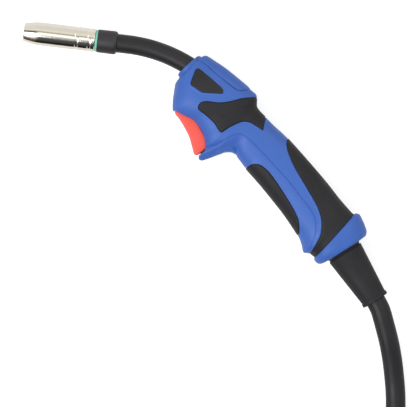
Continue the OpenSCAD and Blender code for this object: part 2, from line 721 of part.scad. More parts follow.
module trigger_spring() lying() color(steel) {
  r = trigger_pin_d / 2 + 0.9;
  coil_wire_r = 0.4;
  pitch = 1.1;
  steps = 12;
  turns = 3;
  coil = [for (i = [0 : turns * steps]) let(a = 360 * i / steps + 60)
    [trigger_pivot[0] + r * cos(a), trigger_pivot[1] + r * sin(a), 2.9 + pitch * i / steps]];
  tube(coil, coil_wire_r, 6);
}

module microswitch() lying() at_switch() color(black) difference() {
  translate([switch_offset, -switch_size[1] / 2, -switch_size[2] / 2]) cube(switch_size);
  for (y = peg_spots) translate([switch_offset + 7, y, 0])
    cylinder(r = peg_r + fit_gap, h = 20, center = true, $fn = round_fn);
  bar(switch_offset - 1, switch_offset + plunger_hole, plunger_r + fit_gap);
}

module switch_plunger() lying() at_switch() color(red) bar(0, switch_offset + plunger_in, plunger_r);

module switch_wires() lying() color(black)
  for (k = [0, 1]) tube(spline([for (p = wire_route) let(q = on_grip([p[0], p[1]]))
    [q[0] - k * p[3], q[1] - k * p[4], p[2]]], 2), wire_r, 6);

// ---------- ball joint and boot ----------

module swivel_ball() lying() at_ball() color(black) difference() {
  sphere(d = ball_d, $fn = round_fn);
  bar(-1, ball_d, cable_r + fit_gap);
  // the handle's end of the cable keeps clear of it over the whole swivel
  flare = swivel_angle + grip_angle - boot_angle + 4;
  turned([[-40, 0], [-40, cable_r + 0.6 + 40 * tan(flare)], [1, cable_r + 0.6], [1, 0]]);
  translate([-40 - ball_cut * ball_d, -40, -40]) cube([40, 80, 80]);
  translate([boot_start, -40, -40]) cube([40, 80, 80]);
}

module strain_relief_boot() lying() at_ball() color(black) turned([
  [boot_start, cable_r + fit_gap], [boot_start, sqrt(pow(ball_d / 2, 2) - pow(boot_start, 2)) - 0.1],
  [waist_x, waist_r], [waist_x + 0.2, boot_d / 2],
  [boot_end - 2.6, boot_end_d / 2], [boot_end - 2.4, lip_d / 2], [boot_end, lip_d / 2],
  [boot_end, cable_r + fit_gap]
]);

module boot_cable() lying() at_ball() color(black) bar(cable_meet, boot_end, cable_r);

// ---------- cable ----------

// Both cable nodes are placed on the bench itself, so they share the torch's sideways shift only
module on_bench() translate([frame_shift[0], frame_shift[1], 0]) children();

coil_in = coil_turns / 2;
function coil_radius(t) = coil_out_r - coil_pitch * (coil_in - sqrt(pow(t - coil_in, 2) + 0.004));
function coil_point(t) = let(a = -360 * t, r = coil_radius(t))
  [coil_centre[0] + r * cos(a), coil_centre[1] + r * sin(a),
   cable_lift + coil_rise * smooth((t - coil_in + 0.25) / 0.5)];
coil_first = coil_point(0);
coil_last = coil_point(coil_turns);
coil_path = concat(
  [[coil_first[0], coil_first[1] + coil_start_run, coil_first[2]],
   [coil_first[0], coil_first[1] + coil_start_run / 2, coil_first[2]]],
  [for (i = [0 : coil_rings * coil_turns]) coil_point(i / coil_rings)],
  [[coil_last[0] - coil_end_run / 2, coil_last[1], coil_last[2]],
   [coil_last[0] - coil_end_run, coil_last[1], coil_last[2]]]);

// Least clearance between turns: points at least half a turn apart
coil_gap = min([for (i = [0 : len(coil_path) - 1]) for (j = [i + 12 : 1 : len(coil_path) - 1])
  norm(coil_path[i] - coil_path[j])]) - cable_d;
path_length = function (p) let(s = [for (i = [1 : len(p) - 1]) norm(p[i] - p[i - 1])]) s * [for (x = s) 1];

cable_points = spline(concat(
  [[boot_tip[0], boot_tip[1], rest_z]], cable_route, [coil_path[0]]), 4);

module cable() on_bench() color(black)
  tube(cable_points, cable_r, cable_sides, 18, [[boot_dir[0], boot_dir[1], 0], [0, -1, 0]]);

module cable_coil() on_bench() color(black)
  tube(coil_path, cable_r, coil_sides, 30, [[0, -1, 0], [-1, 0, 0]]);

echo(coil_gap = coil_gap);
echo(cord_length = path_length(cable_points) + path_length(coil_path) + plug_boot_length);

// ---------- connector ----------

housing_start = plug_boot_length;
housing_end = housing_start + housing_length;
block_front = housing_end + 8;
nut_start = housing_end - 6;
housing_t = 2.6;
plug_screw_x = [housing_start + 20, housing_start + 36];
crimp_start = housing_start + 14;
crimp_end = housing_start + 24;
block_body_r = 11;
collar_r = 12.6;
collar_seat_r = collar_r + 0.6;
liner_channel_r = power_pin_d / 2 - 2.4;
pin_root_r = power_pin_d / 2 - 0.6;
pilot_r = 1.5;
pilot_out = 6;

module plug_frame() on_bench() at_plug() children();

module plug_boot() plug_frame() color(black) turned([
  [0, cable_r + fit_gap], [0, cable_r + 1.6], [3, cable_r + 2],
  [plug_boot_length - 4, collar_r], [plug_boot_length + 6, collar_r], [plug_boot_length + 6, cable_r + fit_gap]
]);

module plug_cable() plug_frame() color(black) bar(0, crimp_end, cable_r, gas_bore_r);

// Half of the rear housing, above its split
module plug_housing() difference() {
  r = housing_d / 2;
  turned([
    [housing_start, collar_seat_r], [housing_start, r - 3.4], [housing_start + 3, r - 1],
    [housing_start + 12, r], [housing_end, r], [housing_end, r - housing_t],
    [housing_start + 9, r - housing_t], [housing_start + 9, collar_seat_r]
  ]);
  translate([-5, -50, -100]) cube([300, 100, 100]);
  for (x = plug_screw_x) translate([x, 0, 0])
    cylinder(r = screw_d / 2 + fit_gap, h = 60, $fn = round_fn);
}

module plug_housing_left() plug_frame() color(black) plug_housing();
module plug_housing_right() plug_frame() color(black) mirror([0, 0, 1]) plug_housing();

// The brass block that the cable is crimped into, with its front flange
module plug_block() plug_frame() color(brass) difference() {
  union() {
    bar(crimp_end, housing_end, block_body_r);
    bar(housing_end, block_front, housing_d / 2 - 0.4);
    bar(crimp_start, crimp_end + 0.2, block_body_r, cable_r + fit_gap);
  }
  bar(housing_start, block_front + 1, liner_channel_r);
  bar(block_front - 6, block_front + 1, pin_root_r + fit_gap);
  for (side = [-1, 1]) translate([0, side * pilot_spacing / 2, 0])
    bar(block_front - 7, block_front + 1, pilot_r + slide_gap);
  for (side = [-1, 1], x = plug_screw_x) translate([x, 0, side * 9])
    cylinder(r = screw_d / 2 + fit_gap, h = 8, center = true, $fn = round_fn);
}

module plug_screws() plug_frame() color(steel)
  for (side = [-1, 1], x = plug_screw_x)
    translate([x, 0, 0]) mirror([0, 0, side < 0 ? 1 : 0]) {
      translate([0, 0, cable_r + 0.8]) cylinder(d = screw_d, h = housing_d / 2 - cable_r - 0.4, $fn = round_fn);
      translate([0, 0, housing_d / 2 + 0.2]) cylinder(d = 5.4, h = 1.8, $fn = round_fn);
    }

module power_pin() plug_frame() color(brass) {
  r = power_pin_d / 2;
  tip = block_front + power_pin_length;
  turned([
    [block_front - 5.8, 1.8], [block_front - 5.8, pin_root_r], [block_front, pin_root_r],
    [block_front, r], [tip - 9, r], [tip - 8, r - 1.2],
    [tip - 6.6, r - 1.2], [tip - 6.6, r - 2], [tip - 4.6, r - 2], [tip - 4.6, r - 1.2],
    [tip - 0.5, r - 1.2], [tip, r - 1.7], [tip, 1.8]
  ]);
}

module gas_o_ring() plug_frame() color(black) along_x()
  translate([0, 0, block_front + power_pin_length - 5.6])
    rotate_extrude($fn = round_fn) translate([power_pin_d / 2 - 1.2, 0]) circle(r = 0.7, $fn = 24);

module liner_nut() plug_frame() color(brass) {
  tip = block_front + power_pin_length;
  difference() {
    along_x() translate([0, 0, tip + 0.1]) cylinder(r = 3.4, h = 4, $fn = 6);
    bar(tip - 1, tip + 6, 1.1);
  }
}

module pilot_pin(side) plug_frame() color(brass) translate([0, side * pilot_spacing / 2, 0]) turned([
  [block_front - 3.4, 0], [block_front - 3.4, pilot_r], [block_front + pilot_out - 0.6, pilot_r],
  [block_front + pilot_out, pilot_r - 0.6], [block_front + pilot_out, 0]
]);
module pilot_pin_left() pilot_pin(-1);
module pilot_pin_right() pilot_pin(1);

module plug_nut() plug_frame() color(black) {
  r = nut_d / 2;
  bore = housing_d / 2 + slide_gap;
  difference() {
    turned([
      [nut_start, bore], [nut_start, r - 3], [nut_start + 3, r - 0.4], [nut_start + 5, r],
      [nut_start + nut_length - 2, r], [nut_start + nut_length, r - 1.4],
      [nut_start + nut_length, bore]
    ]);
    for (a = [15 : 30 : 345]) rotate([a, 0, 0]) translate([nut_start + 6, 0, r + 1.2])
      along_x() cylinder(r = 2.4, h = nut_length - 9, $fn = 24);
  }
}

gas_nozzle();
contact_tip();
gas_diffuser();
nozzle_spring();
nozzle_insulator();
neck_sleeve();
neck_tube();
neck_insulation();
wire_liner();
neck_block();
cable_nut();
inner_cable();
shell_left();
shell_right();
top_cover();
name_plate_left();
name_plate_right();
shoulder_pad_left();
shoulder_pad_right();
finger_pad_left();
finger_pad_right();
palm_pad_left();
palm_pad_right();
rear_ring();
handle_screws();
trigger();
trigger_frame();
trigger_pin();
trigger_spring();
microswitch();
switch_plunger();
switch_wires();
swivel_ball();
strain_relief_boot();
boot_cable();
cable();
cable_coil();
plug_cable();
plug_boot();
plug_housing_left();
plug_housing_right();
plug_screws();
plug_block();
power_pin();
gas_o_ring();
liner_nut();
pilot_pin_left();
pilot_pin_right();
plug_nut();
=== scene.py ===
"""The dressed MIG welding torch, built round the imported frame.

Shapes are worked out in the torch's own plane, in millimetres: x runs from the nozzle towards the
cable, y towards the handle's top, and z out of the torch's left side. place() moves them to the frame.
"""
import json
import math

import bmesh
import bpy
import numpy as np
from mathutils import Matrix, Vector
from mathutils.geometry import delaunay_2d_cdt
from mathutils.kdtree import KDTree


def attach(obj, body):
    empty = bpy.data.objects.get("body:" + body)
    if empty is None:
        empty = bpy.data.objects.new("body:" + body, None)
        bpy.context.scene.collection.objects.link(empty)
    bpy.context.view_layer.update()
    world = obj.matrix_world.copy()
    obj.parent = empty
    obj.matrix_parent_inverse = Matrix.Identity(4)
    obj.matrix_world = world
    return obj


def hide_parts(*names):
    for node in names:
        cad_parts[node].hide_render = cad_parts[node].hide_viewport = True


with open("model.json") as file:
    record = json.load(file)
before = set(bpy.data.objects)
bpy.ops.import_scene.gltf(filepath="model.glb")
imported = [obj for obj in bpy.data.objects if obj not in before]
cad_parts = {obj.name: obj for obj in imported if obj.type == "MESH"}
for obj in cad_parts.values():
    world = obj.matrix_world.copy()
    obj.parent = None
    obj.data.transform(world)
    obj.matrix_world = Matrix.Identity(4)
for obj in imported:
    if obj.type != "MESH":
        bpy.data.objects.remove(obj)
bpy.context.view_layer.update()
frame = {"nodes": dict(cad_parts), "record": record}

MM = 0.001
REST_Z = 20.0  # the torch's plane above the bench
SHIFT = np.array([-0.072, 0.603, REST_Z])  # from the torch's plane to the frame

# ---- sizes, in mm

NECK_FOOT = np.array([10.2, 52.0])
NECK_RADIUS = 114.0
HEAD_ORIGIN = np.array([-70.410, 85.390])  # where the neck's bend begins; the head runs along -X
GRIP_ANGLE = -45.0
BOOT_ANGLE = -50.5
BALL_CENTRE = np.array([109.195, -46.995])
SEAT_R = 16.9
CABLE_R = 7.75
COIL_CENTRE = np.array([67.0, -304.0])
COIL_OUT_R = 105.0
COIL_PITCH = 16.2
COIL_TURNS = 5.25
COIL_END_RUN = 40.0
COIL_START_RUN = 16.0
COIL_MIDDLE_BEND = 0.004  # rounds the coil's innermost turn, where it starts to run outwards
COIL_LAYER_TURN = 0.5  # how much of a turn the cable takes to climb to the upper layer
PLUG = np.array([27.0, -409.0, 23.75])  # z above the bench
BOOT_END = 54.0


def place(points, on_bench=False):
    """Points of the torch's plane, in mm, as frame points in metres. on_bench: z counts from the bench."""
    return (np.asarray(points, float) + (SHIFT * [1, 1, 0] if on_bench else SHIFT)) * MM


def direction(angle):
    return np.array([math.cos(math.radians(angle)), math.sin(math.radians(angle))])


# ---- curves

def spline(points, steps):
    """A smooth curve through points, with steps between each two."""
    p = np.asarray(points, float)
    p = np.vstack([2 * p[0] - p[1], p, 2 * p[-1] - p[-2]])
    out = []
    for a, b, c, d in zip(p, p[1:], p[2:], p[3:]):
        for k in range(steps):
            t = k / steps
            out.append(0.5 * (2 * b + (c - a) * t + (2 * a - 5 * b + 4 * c - d) * t * t
                              + (3 * b - a - 3 * c + d) * t ** 3))
    return np.array([*out, p[-2]])


def outline(*runs):
    """A closed outline of runs; each run is a smooth curve, and they meet in corners."""
    return np.concatenate([spline(run, 6)[:-1] if len(run) > 2 else np.array(run[:1], float)
                           for run in runs])


def rounded(corners, steps=5, limit=0.49):
    """A line of straight sides with its corners (x, y, reach) rounded, and those that are (x, y) sharp.
    limit is the most of a side that one corner may take.
    """
    p = np.array([q[:2] for q in corners], float)
    out = []
    for i, q in enumerate(corners):
        if len(q) < 3:
            out.append(p[i])
            continue
        u, v = p[i - 1] - p[i], p[(i + 1) % len(p)] - p[i]
        lu, lv = np.linalg.norm(u), np.linalg.norm(v)
        reach = min(q[2], limit * lu, limit * lv)
        a, b = p[i] + u / lu * reach, p[i] + v / lv * reach
        out += [(1 - t) ** 2 * a + 2 * t * (1 - t) * p[i] + t * t * b for t in np.linspace(0, 1, steps + 1)]
    return np.array(out)


def pchip(x, y, xs):
    """Monotone smooth interpolation of the columns of y over x, at xs."""
    h = np.diff(x)[:, None]
    s = np.diff(y, axis=0) / h
    m = np.zeros_like(y)
    m[0], m[-1] = s[0], s[-1]
    w1, w2 = 2 * h[1:] + h[:-1], h[1:] + 2 * h[:-1]
    same = s[:-1] * s[1:] > 0
    with np.errstate(divide="ignore", invalid="ignore"):
        mean = (w1 + w2) / (w1 / s[:-1] + w2 / s[1:])
    m[1:-1] = np.where(same, mean, 0)
    i = np.clip(np.searchsorted(x, xs, side="right") - 1, 0, len(x) - 2)
    hi = h[i]
    t = ((xs - x[i]) / hi[:, 0])[:, None]
    return ((2 * t ** 3 - 3 * t ** 2 + 1) * y[i] + (t ** 3 - 2 * t ** 2 + t) * hi * m[i]
            + (3 * t ** 2 - 2 * t ** 3) * y[i + 1] + (t ** 3 - t ** 2) * hi * m[i + 1])


def smoothstep(t):
    t = np.clip(t, 0, 1)
    return t * t * (3 - 2 * t)


def line_distance(points, line, closed=False):
    """Distance of each point of the plane from a line of points."""
    best = np.full(len(points), 1e9)
    for p, q in zip(line, np.roll(line, -1, axis=0) if closed else line[1:]):
        d = q - p
        t = np.clip(((points - p) @ d) / max(float(d @ d), 1e-12), 0, 1)
        gap = points - (p + t[:, None] * d)
        best = np.minimum(best, np.einsum("ij,ij->i", gap, gap))
    return np.sqrt(best)


def inside(points, line):
    """Which points of the plane lie inside a closed line."""
    odd = np.zeros(len(points), bool)
    for p, q in zip(line, np.roll(line, -1, axis=0)):
        crosses = (p[1] > points[:, 1]) != (q[1] > points[:, 1])
        with np.errstate(divide="ignore", invalid="ignore"):
            at = (q[0] - p[0]) * (points[:, 1] - p[1]) / (q[1] - p[1]) + p[0]
        odd ^= crosses & (points[:, 0] < at)
    return odd


def depth_inside(points, line, reach=6.0):
    """Signed distance to a closed line, negative inside; points far outside its box read reach."""
    low, high = line.min(0) - reach, line.max(0) + reach
    near = np.all((points > low) & (points < high), axis=1)
    out = np.full(len(points), reach)
    if near.any():
        d = line_distance(points[near], line, closed=True)
        out[near] = np.where(inside(points[near], line), -d, np.minimum(d, reach))
    return out


def unit(vectors):
    return vectors / np.maximum(np.linalg.norm(vectors, axis=-1, keepdims=True), 1e-9)


def way_along(points):
    """How far along their line each of the points lies."""
    return np.concatenate([[0], np.cumsum(np.linalg.norm(np.diff(points, axis=0), axis=1))])


# ---- objects

def link(name, data):
    obj = bpy.data.objects.new(name, data)
    bpy.context.scene.collection.objects.link(obj)
    return obj


def new_object(name, points, faces, on_bench=False):
    mesh = bpy.data.meshes.new(name)
    mesh.from_pydata([tuple(p) for p in place(points, on_bench)], [], [tuple(f) for f in faces])
    mesh.validate()
    mesh.update()
    return link(name, mesh)


def smooth(mesh, sharp):
    """Smooth shading, with edges kept sharp that turn by more than the given angle."""
    mesh.polygons.foreach_set("use_smooth", np.ones(len(mesh.polygons), bool))
    if sharp:
        mesh.set_sharp_from_angle(angle=math.radians(sharp))


def dress(obj, slot, body, *replaced, look=None, sharp=35.0):
    """Gives a piece the material of its slot, or of look, its shading and its body, and hides the nodes
    that it stands for.
    """
    obj.data.materials.clear()
    obj.data.materials.append(looks[look or slot])
    if obj.type == "MESH":
        smooth(obj.data, sharp)
    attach(obj, body)
    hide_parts(*replaced)
    return obj


def clean(obj, merge=1e-4, close=False):
    """Merges points nearer than merge, in mm, and turns the faces outwards; close fills the holes."""
    bm = bmesh.new()
    bm.from_mesh(obj.data)
    bmesh.ops.remove_doubles(bm, verts=bm.verts, dist=merge * MM)
    if close:
        bmesh.ops.holes_fill(bm, edges=[e for e in bm.edges if e.is_boundary], sides=0)
        bmesh.ops.triangulate(bm, faces=[f for f in bm.faces if len(f.verts) > 3])
    bmesh.ops.recalc_face_normals(bm, faces=bm.faces)
    bm.to_mesh(obj.data)
    bm.free()
    return obj


def skin(name, rows, closed_rows=False, on_bench=False):
    """A body through rows of as many points each, with flat ends unless the last row meets the first."""
    count = len(rows[0])
    faces = []
    for i in range(len(rows) if closed_rows else len(rows) - 1):
        a, b = i * count, ((i + 1) % len(rows)) * count
        for j in range(count):
            k = (j + 1) % count
            faces.append((a + j, a + k, b + k, b + j))
    if not closed_rows:
        faces.append(tuple(range(count - 1, -1, -1)))
        faces.append(tuple((len(rows) - 1) * count + j for j in range(count)))
    return clean(new_object(name, np.vstack(rows), faces, on_bench))


def round_turn(count):
    """Angles at even steps all the way round."""
    return 2 * np.pi * np.arange(count) / count


def lathe(name, profile, origin, angle, segments=96, closed=True, z=0.0, on_bench=False, dip=None):
    """A turned piece: profile of (x, r) along the given direction in the plane; dip(x, r, turn) cuts in."""
    along = np.append(direction(angle), 0.0)
    side = np.array([-along[1], along[0], 0.0])
    base = np.array([origin[0], origin[1], z])
    turns = round_turn(segments)
    spokes = np.cos(turns)[:, None] * side + np.sin(turns)[:, None] * [0.0, 0.0, 1.0]
    rows = [base + x * along + (r - (dip(x, r, turns)[:, None] if dip else 0)) * spokes for x, r in profile]
    return skin(name, rows, closed, on_bench)


def bake(obj):
    """Applies an object's modifiers."""
    mesh = bpy.data.meshes.new_from_object(obj.evaluated_get(bpy.context.evaluated_depsgraph_get()))
    obj.modifiers.clear()
    obj.data = mesh
    return obj


def cut(obj, cutter, operation="DIFFERENCE"):
    m = obj.modifiers.new("cut", "BOOLEAN")
    m.object = cutter
    m.operation = operation
    m.solver = "MANIFOLD"
    bake(obj)
    bpy.data.objects.remove(cutter)


# ---- the handle's surface

GRID, FINE = ((1.0, 0.5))  # spacing of a sheet's points, and along its lines
TRIANGLE_HEIGHT, LINE_ROOM = 0.87, 0.55  # both as parts of GRID


def sections(stations, count):
    """Sections at even steps along their middles' line, and its length. A section is a superellipse:
    (top x, top y, bottom x, bottom y, half width, roundness).
    """
    row = np.array(stations, float)
    along = way_along((row[:, 0:2] + row[:, 2:4]) / 2)
    return pchip(along, row, np.linspace(0, along[-1], count)), along[-1]


def superellipse(wave, e):
    """A sine or cosine, bent as a superellipse needs it."""
    return np.sign(wave) * np.abs(wave) ** e


class Surface:
    """The outer surface of a row of sections, from z = 0 at the top, round +Z, to z = 0 below.

    Its points are found by the way along the sections and the way round them, both in mm.
    """

    def __init__(self, stations, rows=420, columns=160):
        row, self.length = sections(stations, rows)
        self.top, self.bottom = row[:, :2], row[:, 2:4]
        turn = np.linspace(0, np.pi, 361)
        e = (2 / row[:, 5])[:, None]
        self.t = superellipse(np.cos(turn), e)
        centre, half = (self.top + self.bottom) / 2, (self.top - self.bottom) / 2
        points = np.empty((rows, len(turn), 3))
        points[:, :, :2] = centre[:, None] + half[:, None] * self.t[:, :, None]
        points[:, :, 2] = row[:, 4, None] * np.clip(np.sin(turn), 0, 1) ** e
        points[:, [0, -1], 2] = 0
        steps = np.linalg.norm(np.diff(points, axis=1), axis=2)
        arc = np.concatenate([np.zeros((rows, 1)), np.cumsum(steps, axis=1)], axis=1)
        self.girth = float(arc[:, -1].mean())
        self.fraction = arc / arc[:, -1:]
        even = np.linspace(0, 1, columns)
        self.grid = np.stack([np.stack([np.interp(even, self.fraction[i], points[i, :, k])
                                        for k in range(3)], axis=1) for i in range(rows)])
        normal = np.cross(np.gradient(self.grid, axis=1), np.gradient(self.grid, axis=0))
        normal[:, [0, -1], 2] = 0
        self.normal = unit(normal)

    def lookup(self, table, where):
        """Values of a table of the surface at points (way along, way round)."""
        rows, columns = table.shape[:2]
        a = np.clip(where[:, 0] / self.length, 0, 1) * (rows - 1)
        b = np.clip(where[:, 1] / self.girth, 0, 1) * (columns - 1)
        i, j = np.minimum(a.astype(int), rows - 2), np.minimum(b.astype(int), columns - 2)
        f, g = (a - i)[:, None], (b - j)[:, None]
        return ((1 - f) * (1 - g) * table[i, j] + f * (1 - g) * table[i + 1, j]
                + (1 - f) * g * table[i, j + 1] + f * g * table[i + 1, j + 1])

    def find(self, plane):
        """(way along, way round) of points of the plane, and how far out they lie (1 = the edge)."""
        rows = len(self.top)
        line = self.top - self.bottom
        gap = plane[None] - self.bottom[:, None]
        side = line[:, None, 0] * gap[:, :, 1] - line[:, None, 1] * gap[:, :, 0]
        out = 2 * np.einsum("rk,rpk->rp", line, gap) / np.einsum("rk,rk->r", line, line)[:, None] - 1
        turned = side[:-1] * side[1:] <= 0
        i = np.where(turned, np.abs(out[:-1]), 1e6).argmin(axis=0)
        n = np.arange(len(plane))
        lost = ~turned[i, n]
        i = np.minimum(np.where(lost, np.abs(side).argmin(axis=0), i), rows - 2)
        a, b = side[i, n], side[i + 1, n]
        f = np.where(lost, 0, np.clip(a / np.where(np.abs(a - b) < 1e-12, 1, a - b), 0, 1))
        t = (1 - f) * out[i, n] + f * out[i + 1, n]
        turn = np.array([np.interp(-v, -self.t[k], self.fraction[k]) for v, k in zip(t, i)])
        return np.column_stack([(i + f) / (rows - 1) * self.length, turn * self.girth]), np.abs(t)


def offset_line(line, by):
    """A closed line moved outwards, or inwards where by is negative."""
    ahead, behind = (unit(d)[:, ::-1] * [1, -1] for d in (np.roll(line, -1, axis=0) - line,
                                                          line - np.roll(line, 1, axis=0)))
    mean = unit(ahead + behind)
    x, y = line.T
    turn = np.sign(np.sum(x * np.roll(y, -1) - np.roll(x, -1) * y))
    stretch = 1 / np.clip(np.einsum("ij,ij->i", mean, ahead), 0.4, 1)
    return line + by * turn * mean * stretch[:, None]


def even_line(line, step, closed=True):
    """The same line with its points at even steps; its corners are kept to within a step."""
    p = np.vstack([line, line[:1]]) if closed else line
    s = way_along(p)
    at = np.linspace(0, s[-1], max(3, int(round(s[-1] / step))) + 1)
    out = np.column_stack([np.interp(at, s, p[:, 0]), np.interp(at, s, p[:, 1])])
    return out[:-1] if closed else out


def sheet(surface, lines, height, within=None, gap=0.0):
    """A triangulated patch of a surface, with edges along lines of the plane.

    lines: (points, closed) each. The patch keeps to the outline within, less a gap, and height says
    how far each point stands above the surface. Returns points of the torch's space and triangles.
    """
    marks, edges = [], []

    def add(points, closed):
        first = len(marks)
        marks.extend(points)
        edges.extend((first + i, first + i + 1) for i in range(len(points) - 1))
        if closed:
            edges.append((first + len(points) - 1, first))

    length, girth = surface.length, surface.girth
    step, seam_room = 1.5 * FINE, 0.3
    ring = [(s, 0.0) for s in np.arange(0, length, step)]
    ring += [(length, v) for v in np.arange(0, girth, step)]
    ring += [(s, girth) for s in np.arange(length, 0, -step)]
    ring += [(0.0, v) for v in np.arange(girth, 0, -step)]
    add(ring, True)
    for seam in (seam_room, girth - seam_room):
        add([(s, seam) for s in np.arange(seam_room, length - seam_room, step)], False)
    for points, closed in lines:
        where, out = surface.find(even_line(points, FINE, closed))
        outside = out > 1
        if closed and outside.any():
            first = int(outside.argmax())
            where, outside = (np.concatenate([q[first:], q[:first + 1]]) for q in (where, outside))
            closed = False
        run = []  # each run starts and ends on the surface's edge
        for spot, is_outside in zip(where, outside):
            if is_outside:
                if len(run) > 1:
                    add(run + [tuple(spot)], False)
                run = []
            run.append(tuple(spot))
        if len(run) > 1:
            add(run, closed)
    tree = KDTree(len(marks))
    for i, mark in enumerate(marks):
        tree.insert((*mark, 0), i)
    tree.balance()
    spaced = []  # a grid of even triangles, kept clear of the lines
    for k, v in enumerate(np.arange(GRID, girth, TRIANGLE_HEIGHT * GRID)):
        for s in np.arange(GRID * (0.5 + 0.5 * (k % 2)), length, GRID):
            if tree.find((s, v, 0))[2] > LINE_ROOM * GRID:
                spaced.append((s, v))
    flat, _, faces, *_ = delaunay_2d_cdt([Vector(p) for p in marks + spaced], edges, [], 0, 1e-5)
    where = np.array(flat)
    points = surface.lookup(surface.grid, where)
    faces = np.array([f for f in faces if len(f) == 3])
    if within is not None:
        faces = faces[depth_inside(points[faces][:, :, :2].mean(axis=1), within) < -gap]
    used, index = np.unique(faces, return_inverse=True)
    points, where = points[used], where[used]
    lift = height(points[:, :2], where)
    return points + surface.lookup(surface.normal, where) * lift[:, None], index.reshape(faces.shape)


HANDLE = [
    (-12.0, 82.6, -27.6, 65.2, 12.2, 2.1),
    (-9.6, 83.75, -30.3, 60.2, 14.0, 2.15),
    (-8.9, 83.6, -30.6, 59.2, 14.3, 2.15),
    (-1.5, 80.2, -30.8, 54.0, 16.2, 2.3),
    (4.5, 77.3, -30.9, 48, 17.5, 2.5),
    (10.5, 73.8, -30.2, 39.5, 18.4, 2.6),
    (19, 68.4, -22.9, 35.2, 19, 2.6),
    (25, 64.2, -14.8, 32.6, 19, 2.6),
    (28.8, 61.4, -9.1, 27.7, 19, 2.6),
    (33.2, 57.7, -4.5, 20.5, 19, 2.6),
    (34, 50, -1.3, 12.4, 18.6, 2.6),
    (42, 42.1, 7.4, 13.2, 18.4, 2.6),
    (46, 39, 17.4, 13.6, 18.2, 2.6),
    (49.6, 36.2, 24.1, 8.2, 18, 2.6),
    (57.6, 30.5, 30.8, 1.5, 18, 2.6),
    (71.7, 18.5, 43.3, -9.7, 18, 2.6),
    (84.8, 6.7, 56, -21.9, 18, 2.6),
    (96.5, -4.2, 66.7, -32.8, 18.8, 2.6),
    (106, -13.8, 74.6, -42, 19.2, 2.5),
    (110, -17.5, 79.2, -48, 19.4, 2.4),
    (113, -20.2, 81.6, -53, 19.5, 2.4),
    (115.2, -22.1, 83.8, -58.5, 19.5, 2.4),
    (115.5, -22.4, 84.5, -58.7, 19.5, 2.4),
    (117, -23.6, 88.2, -58.6, 19.5, 2.4),
    (118.5, -24.6, 92.8, -60.7, 19.5, 2.4)]
COLLAR = [(-17.0, 81.6, -28.6, 68.4, 8.8, 2), (-16.4, 82.4, -29.1, 67.6, 10.0, 2),
          (-14.9, 83.1, -29.2, 66.4, 10.7, 2), (-12.6, 82.4, -28.4, 65.4, 10.8, 2),
          (-8, 80, -27, 62, 10.0, 2)]
# The finger stop: its crest, where it leaves the cheek, its heel below, and its half width
HORN = [(-5.75, 4.7, -5.6, 3.8, 7.6), (-5.4, 5.9, -4.6, 3.0, 9.4), (-3.9, 7.8, -2.9, 2.8, 10.4),
        (-1.9, 9.7, -0.6, 3.7, 11.0), (2.2, 12.3, 3.8, 5.8, 12.3), (6, 15.2, 7, 7.6, 13.4),
        (9.4, 17.7, 10.4, 9.3, 15.6), (13.6, 21.2, 14.2, 11.2, 17.0), (17.4, 23.8, 18.4, 11.8, 16.6),
        (24, 26, 25, 9.5, 10.5)]
# Its side from above the crest to the heel, as (part of the way, part of the half width)
HORN_SIDE = [(-0.55, 0.80), (-0.28, 0.92), (0, 0.985), (0.12, 1.0), (0.27, 0.97), (0.36, 0.90),
             (0.47, 0.81), (0.62, 0.74), (0.78, 0.69), (0.90, 0.60), (0.97, 0.42), (1.0, 0.2)]
NOTCH = [(-16, 22), (-5.6, 22), (-2.9, 17.3), (-1.7, 13.6), (-1.5, 11.6), (-1.6, 10.6), (-2.1, 9.8),
         (-4.1, 7.9), (-5.6, 6.5), (-6.7, 4.6), (-16, 4.6)]
RING = [(118.5, -24.6, 92.8, -60.7, 18.6, 2.4), (119.9, -23.7, 92.5, -62.4, 19.9, 2.4),
        (120.3, -23.5, 92.6, -62.9, 20.0, 2.4), (122.3, -23.6, 93.2, -63.9, 19.9, 2.4),
        (126.1, -28, 94.8, -65.2, 19.6, 2.4), (128.8, -32.8, 96.5, -65.8, 19, 2.3),
        (130.4, -37, 98.5, -65.5, 18.2, 2.2), (130.1, -39.7, 100.2, -64.6, 17.2, 2.1),
        (128.2, -41.3, 101.6, -63.4, 16, 2), (126.3, -43.1, 102.1, -63.0, 15.7, 2)]

# Outlines in the torch's plane, as smooth runs that meet in corners
SHOULDER = outline(
    [(41.2, 31.1), (35.1, 34.1), (30.2, 36.2), (26.7, 36.3), (23, 35.3), (15.6, 30.7), (11.1, 26.8),
     (9.3, 25.9), (7.3, 27), (3.8, 31.5), (0, 34.7), (-5, 38), (-9.6, 40.7), (-10.8, 43),
     (-9.6, 46.4), (-6.5, 48.2), (-2, 48.6), (5, 48.7), (13.2, 50.6), (22.8, 54.4), (33, 56.4),
     (45, 58)], [(45, 58)], [(52, 42)], [(42.2, 42)])
FINGER = outline(
    [(22, -4), (30.9, 0.7), (33, 2.6), (35.7, 4.3), (38.8, 5), (42, 4.8), (45.3, 3.3), (51.2, -1.3),
     (60.2, -11.4), (68.8, -22), (75.5, -31.8), (77.4, -37.2), (78.2, -42), (77.6, -46), (66, -62)],
    [(66, -62)], [(30, -30)])
PALM = outline(
    [(66, 40), (60.8, 28), (60.2, 24.5), (60.8, 20.8), (63, 15.2), (68.7, 5.5), (78.8, -7.7),
     (88.1, -20.2), (91.3, -25.7), (93.2, -30.2), (94.4, -36), (94.4, -43), (93.1, -47.5),
     (91, -53), (88.6, -58)], [(88.6, -58)], [(90, -68)], [(130, -30)], [(140, -8)])
PADS = {"shoulder_pad": SHOULDER, "finger_pad": FINGER, "palm_pad": PALM}
PLATE = rounded([(-15.6, 74.6, 4.4), (-19.2, 59.9, 2.0), (-9.2, 54.6, 1.6), (7.5, 55.6, 2.2),
                 (6.9, 59.5, 2.0)], 6, limit=1.0)
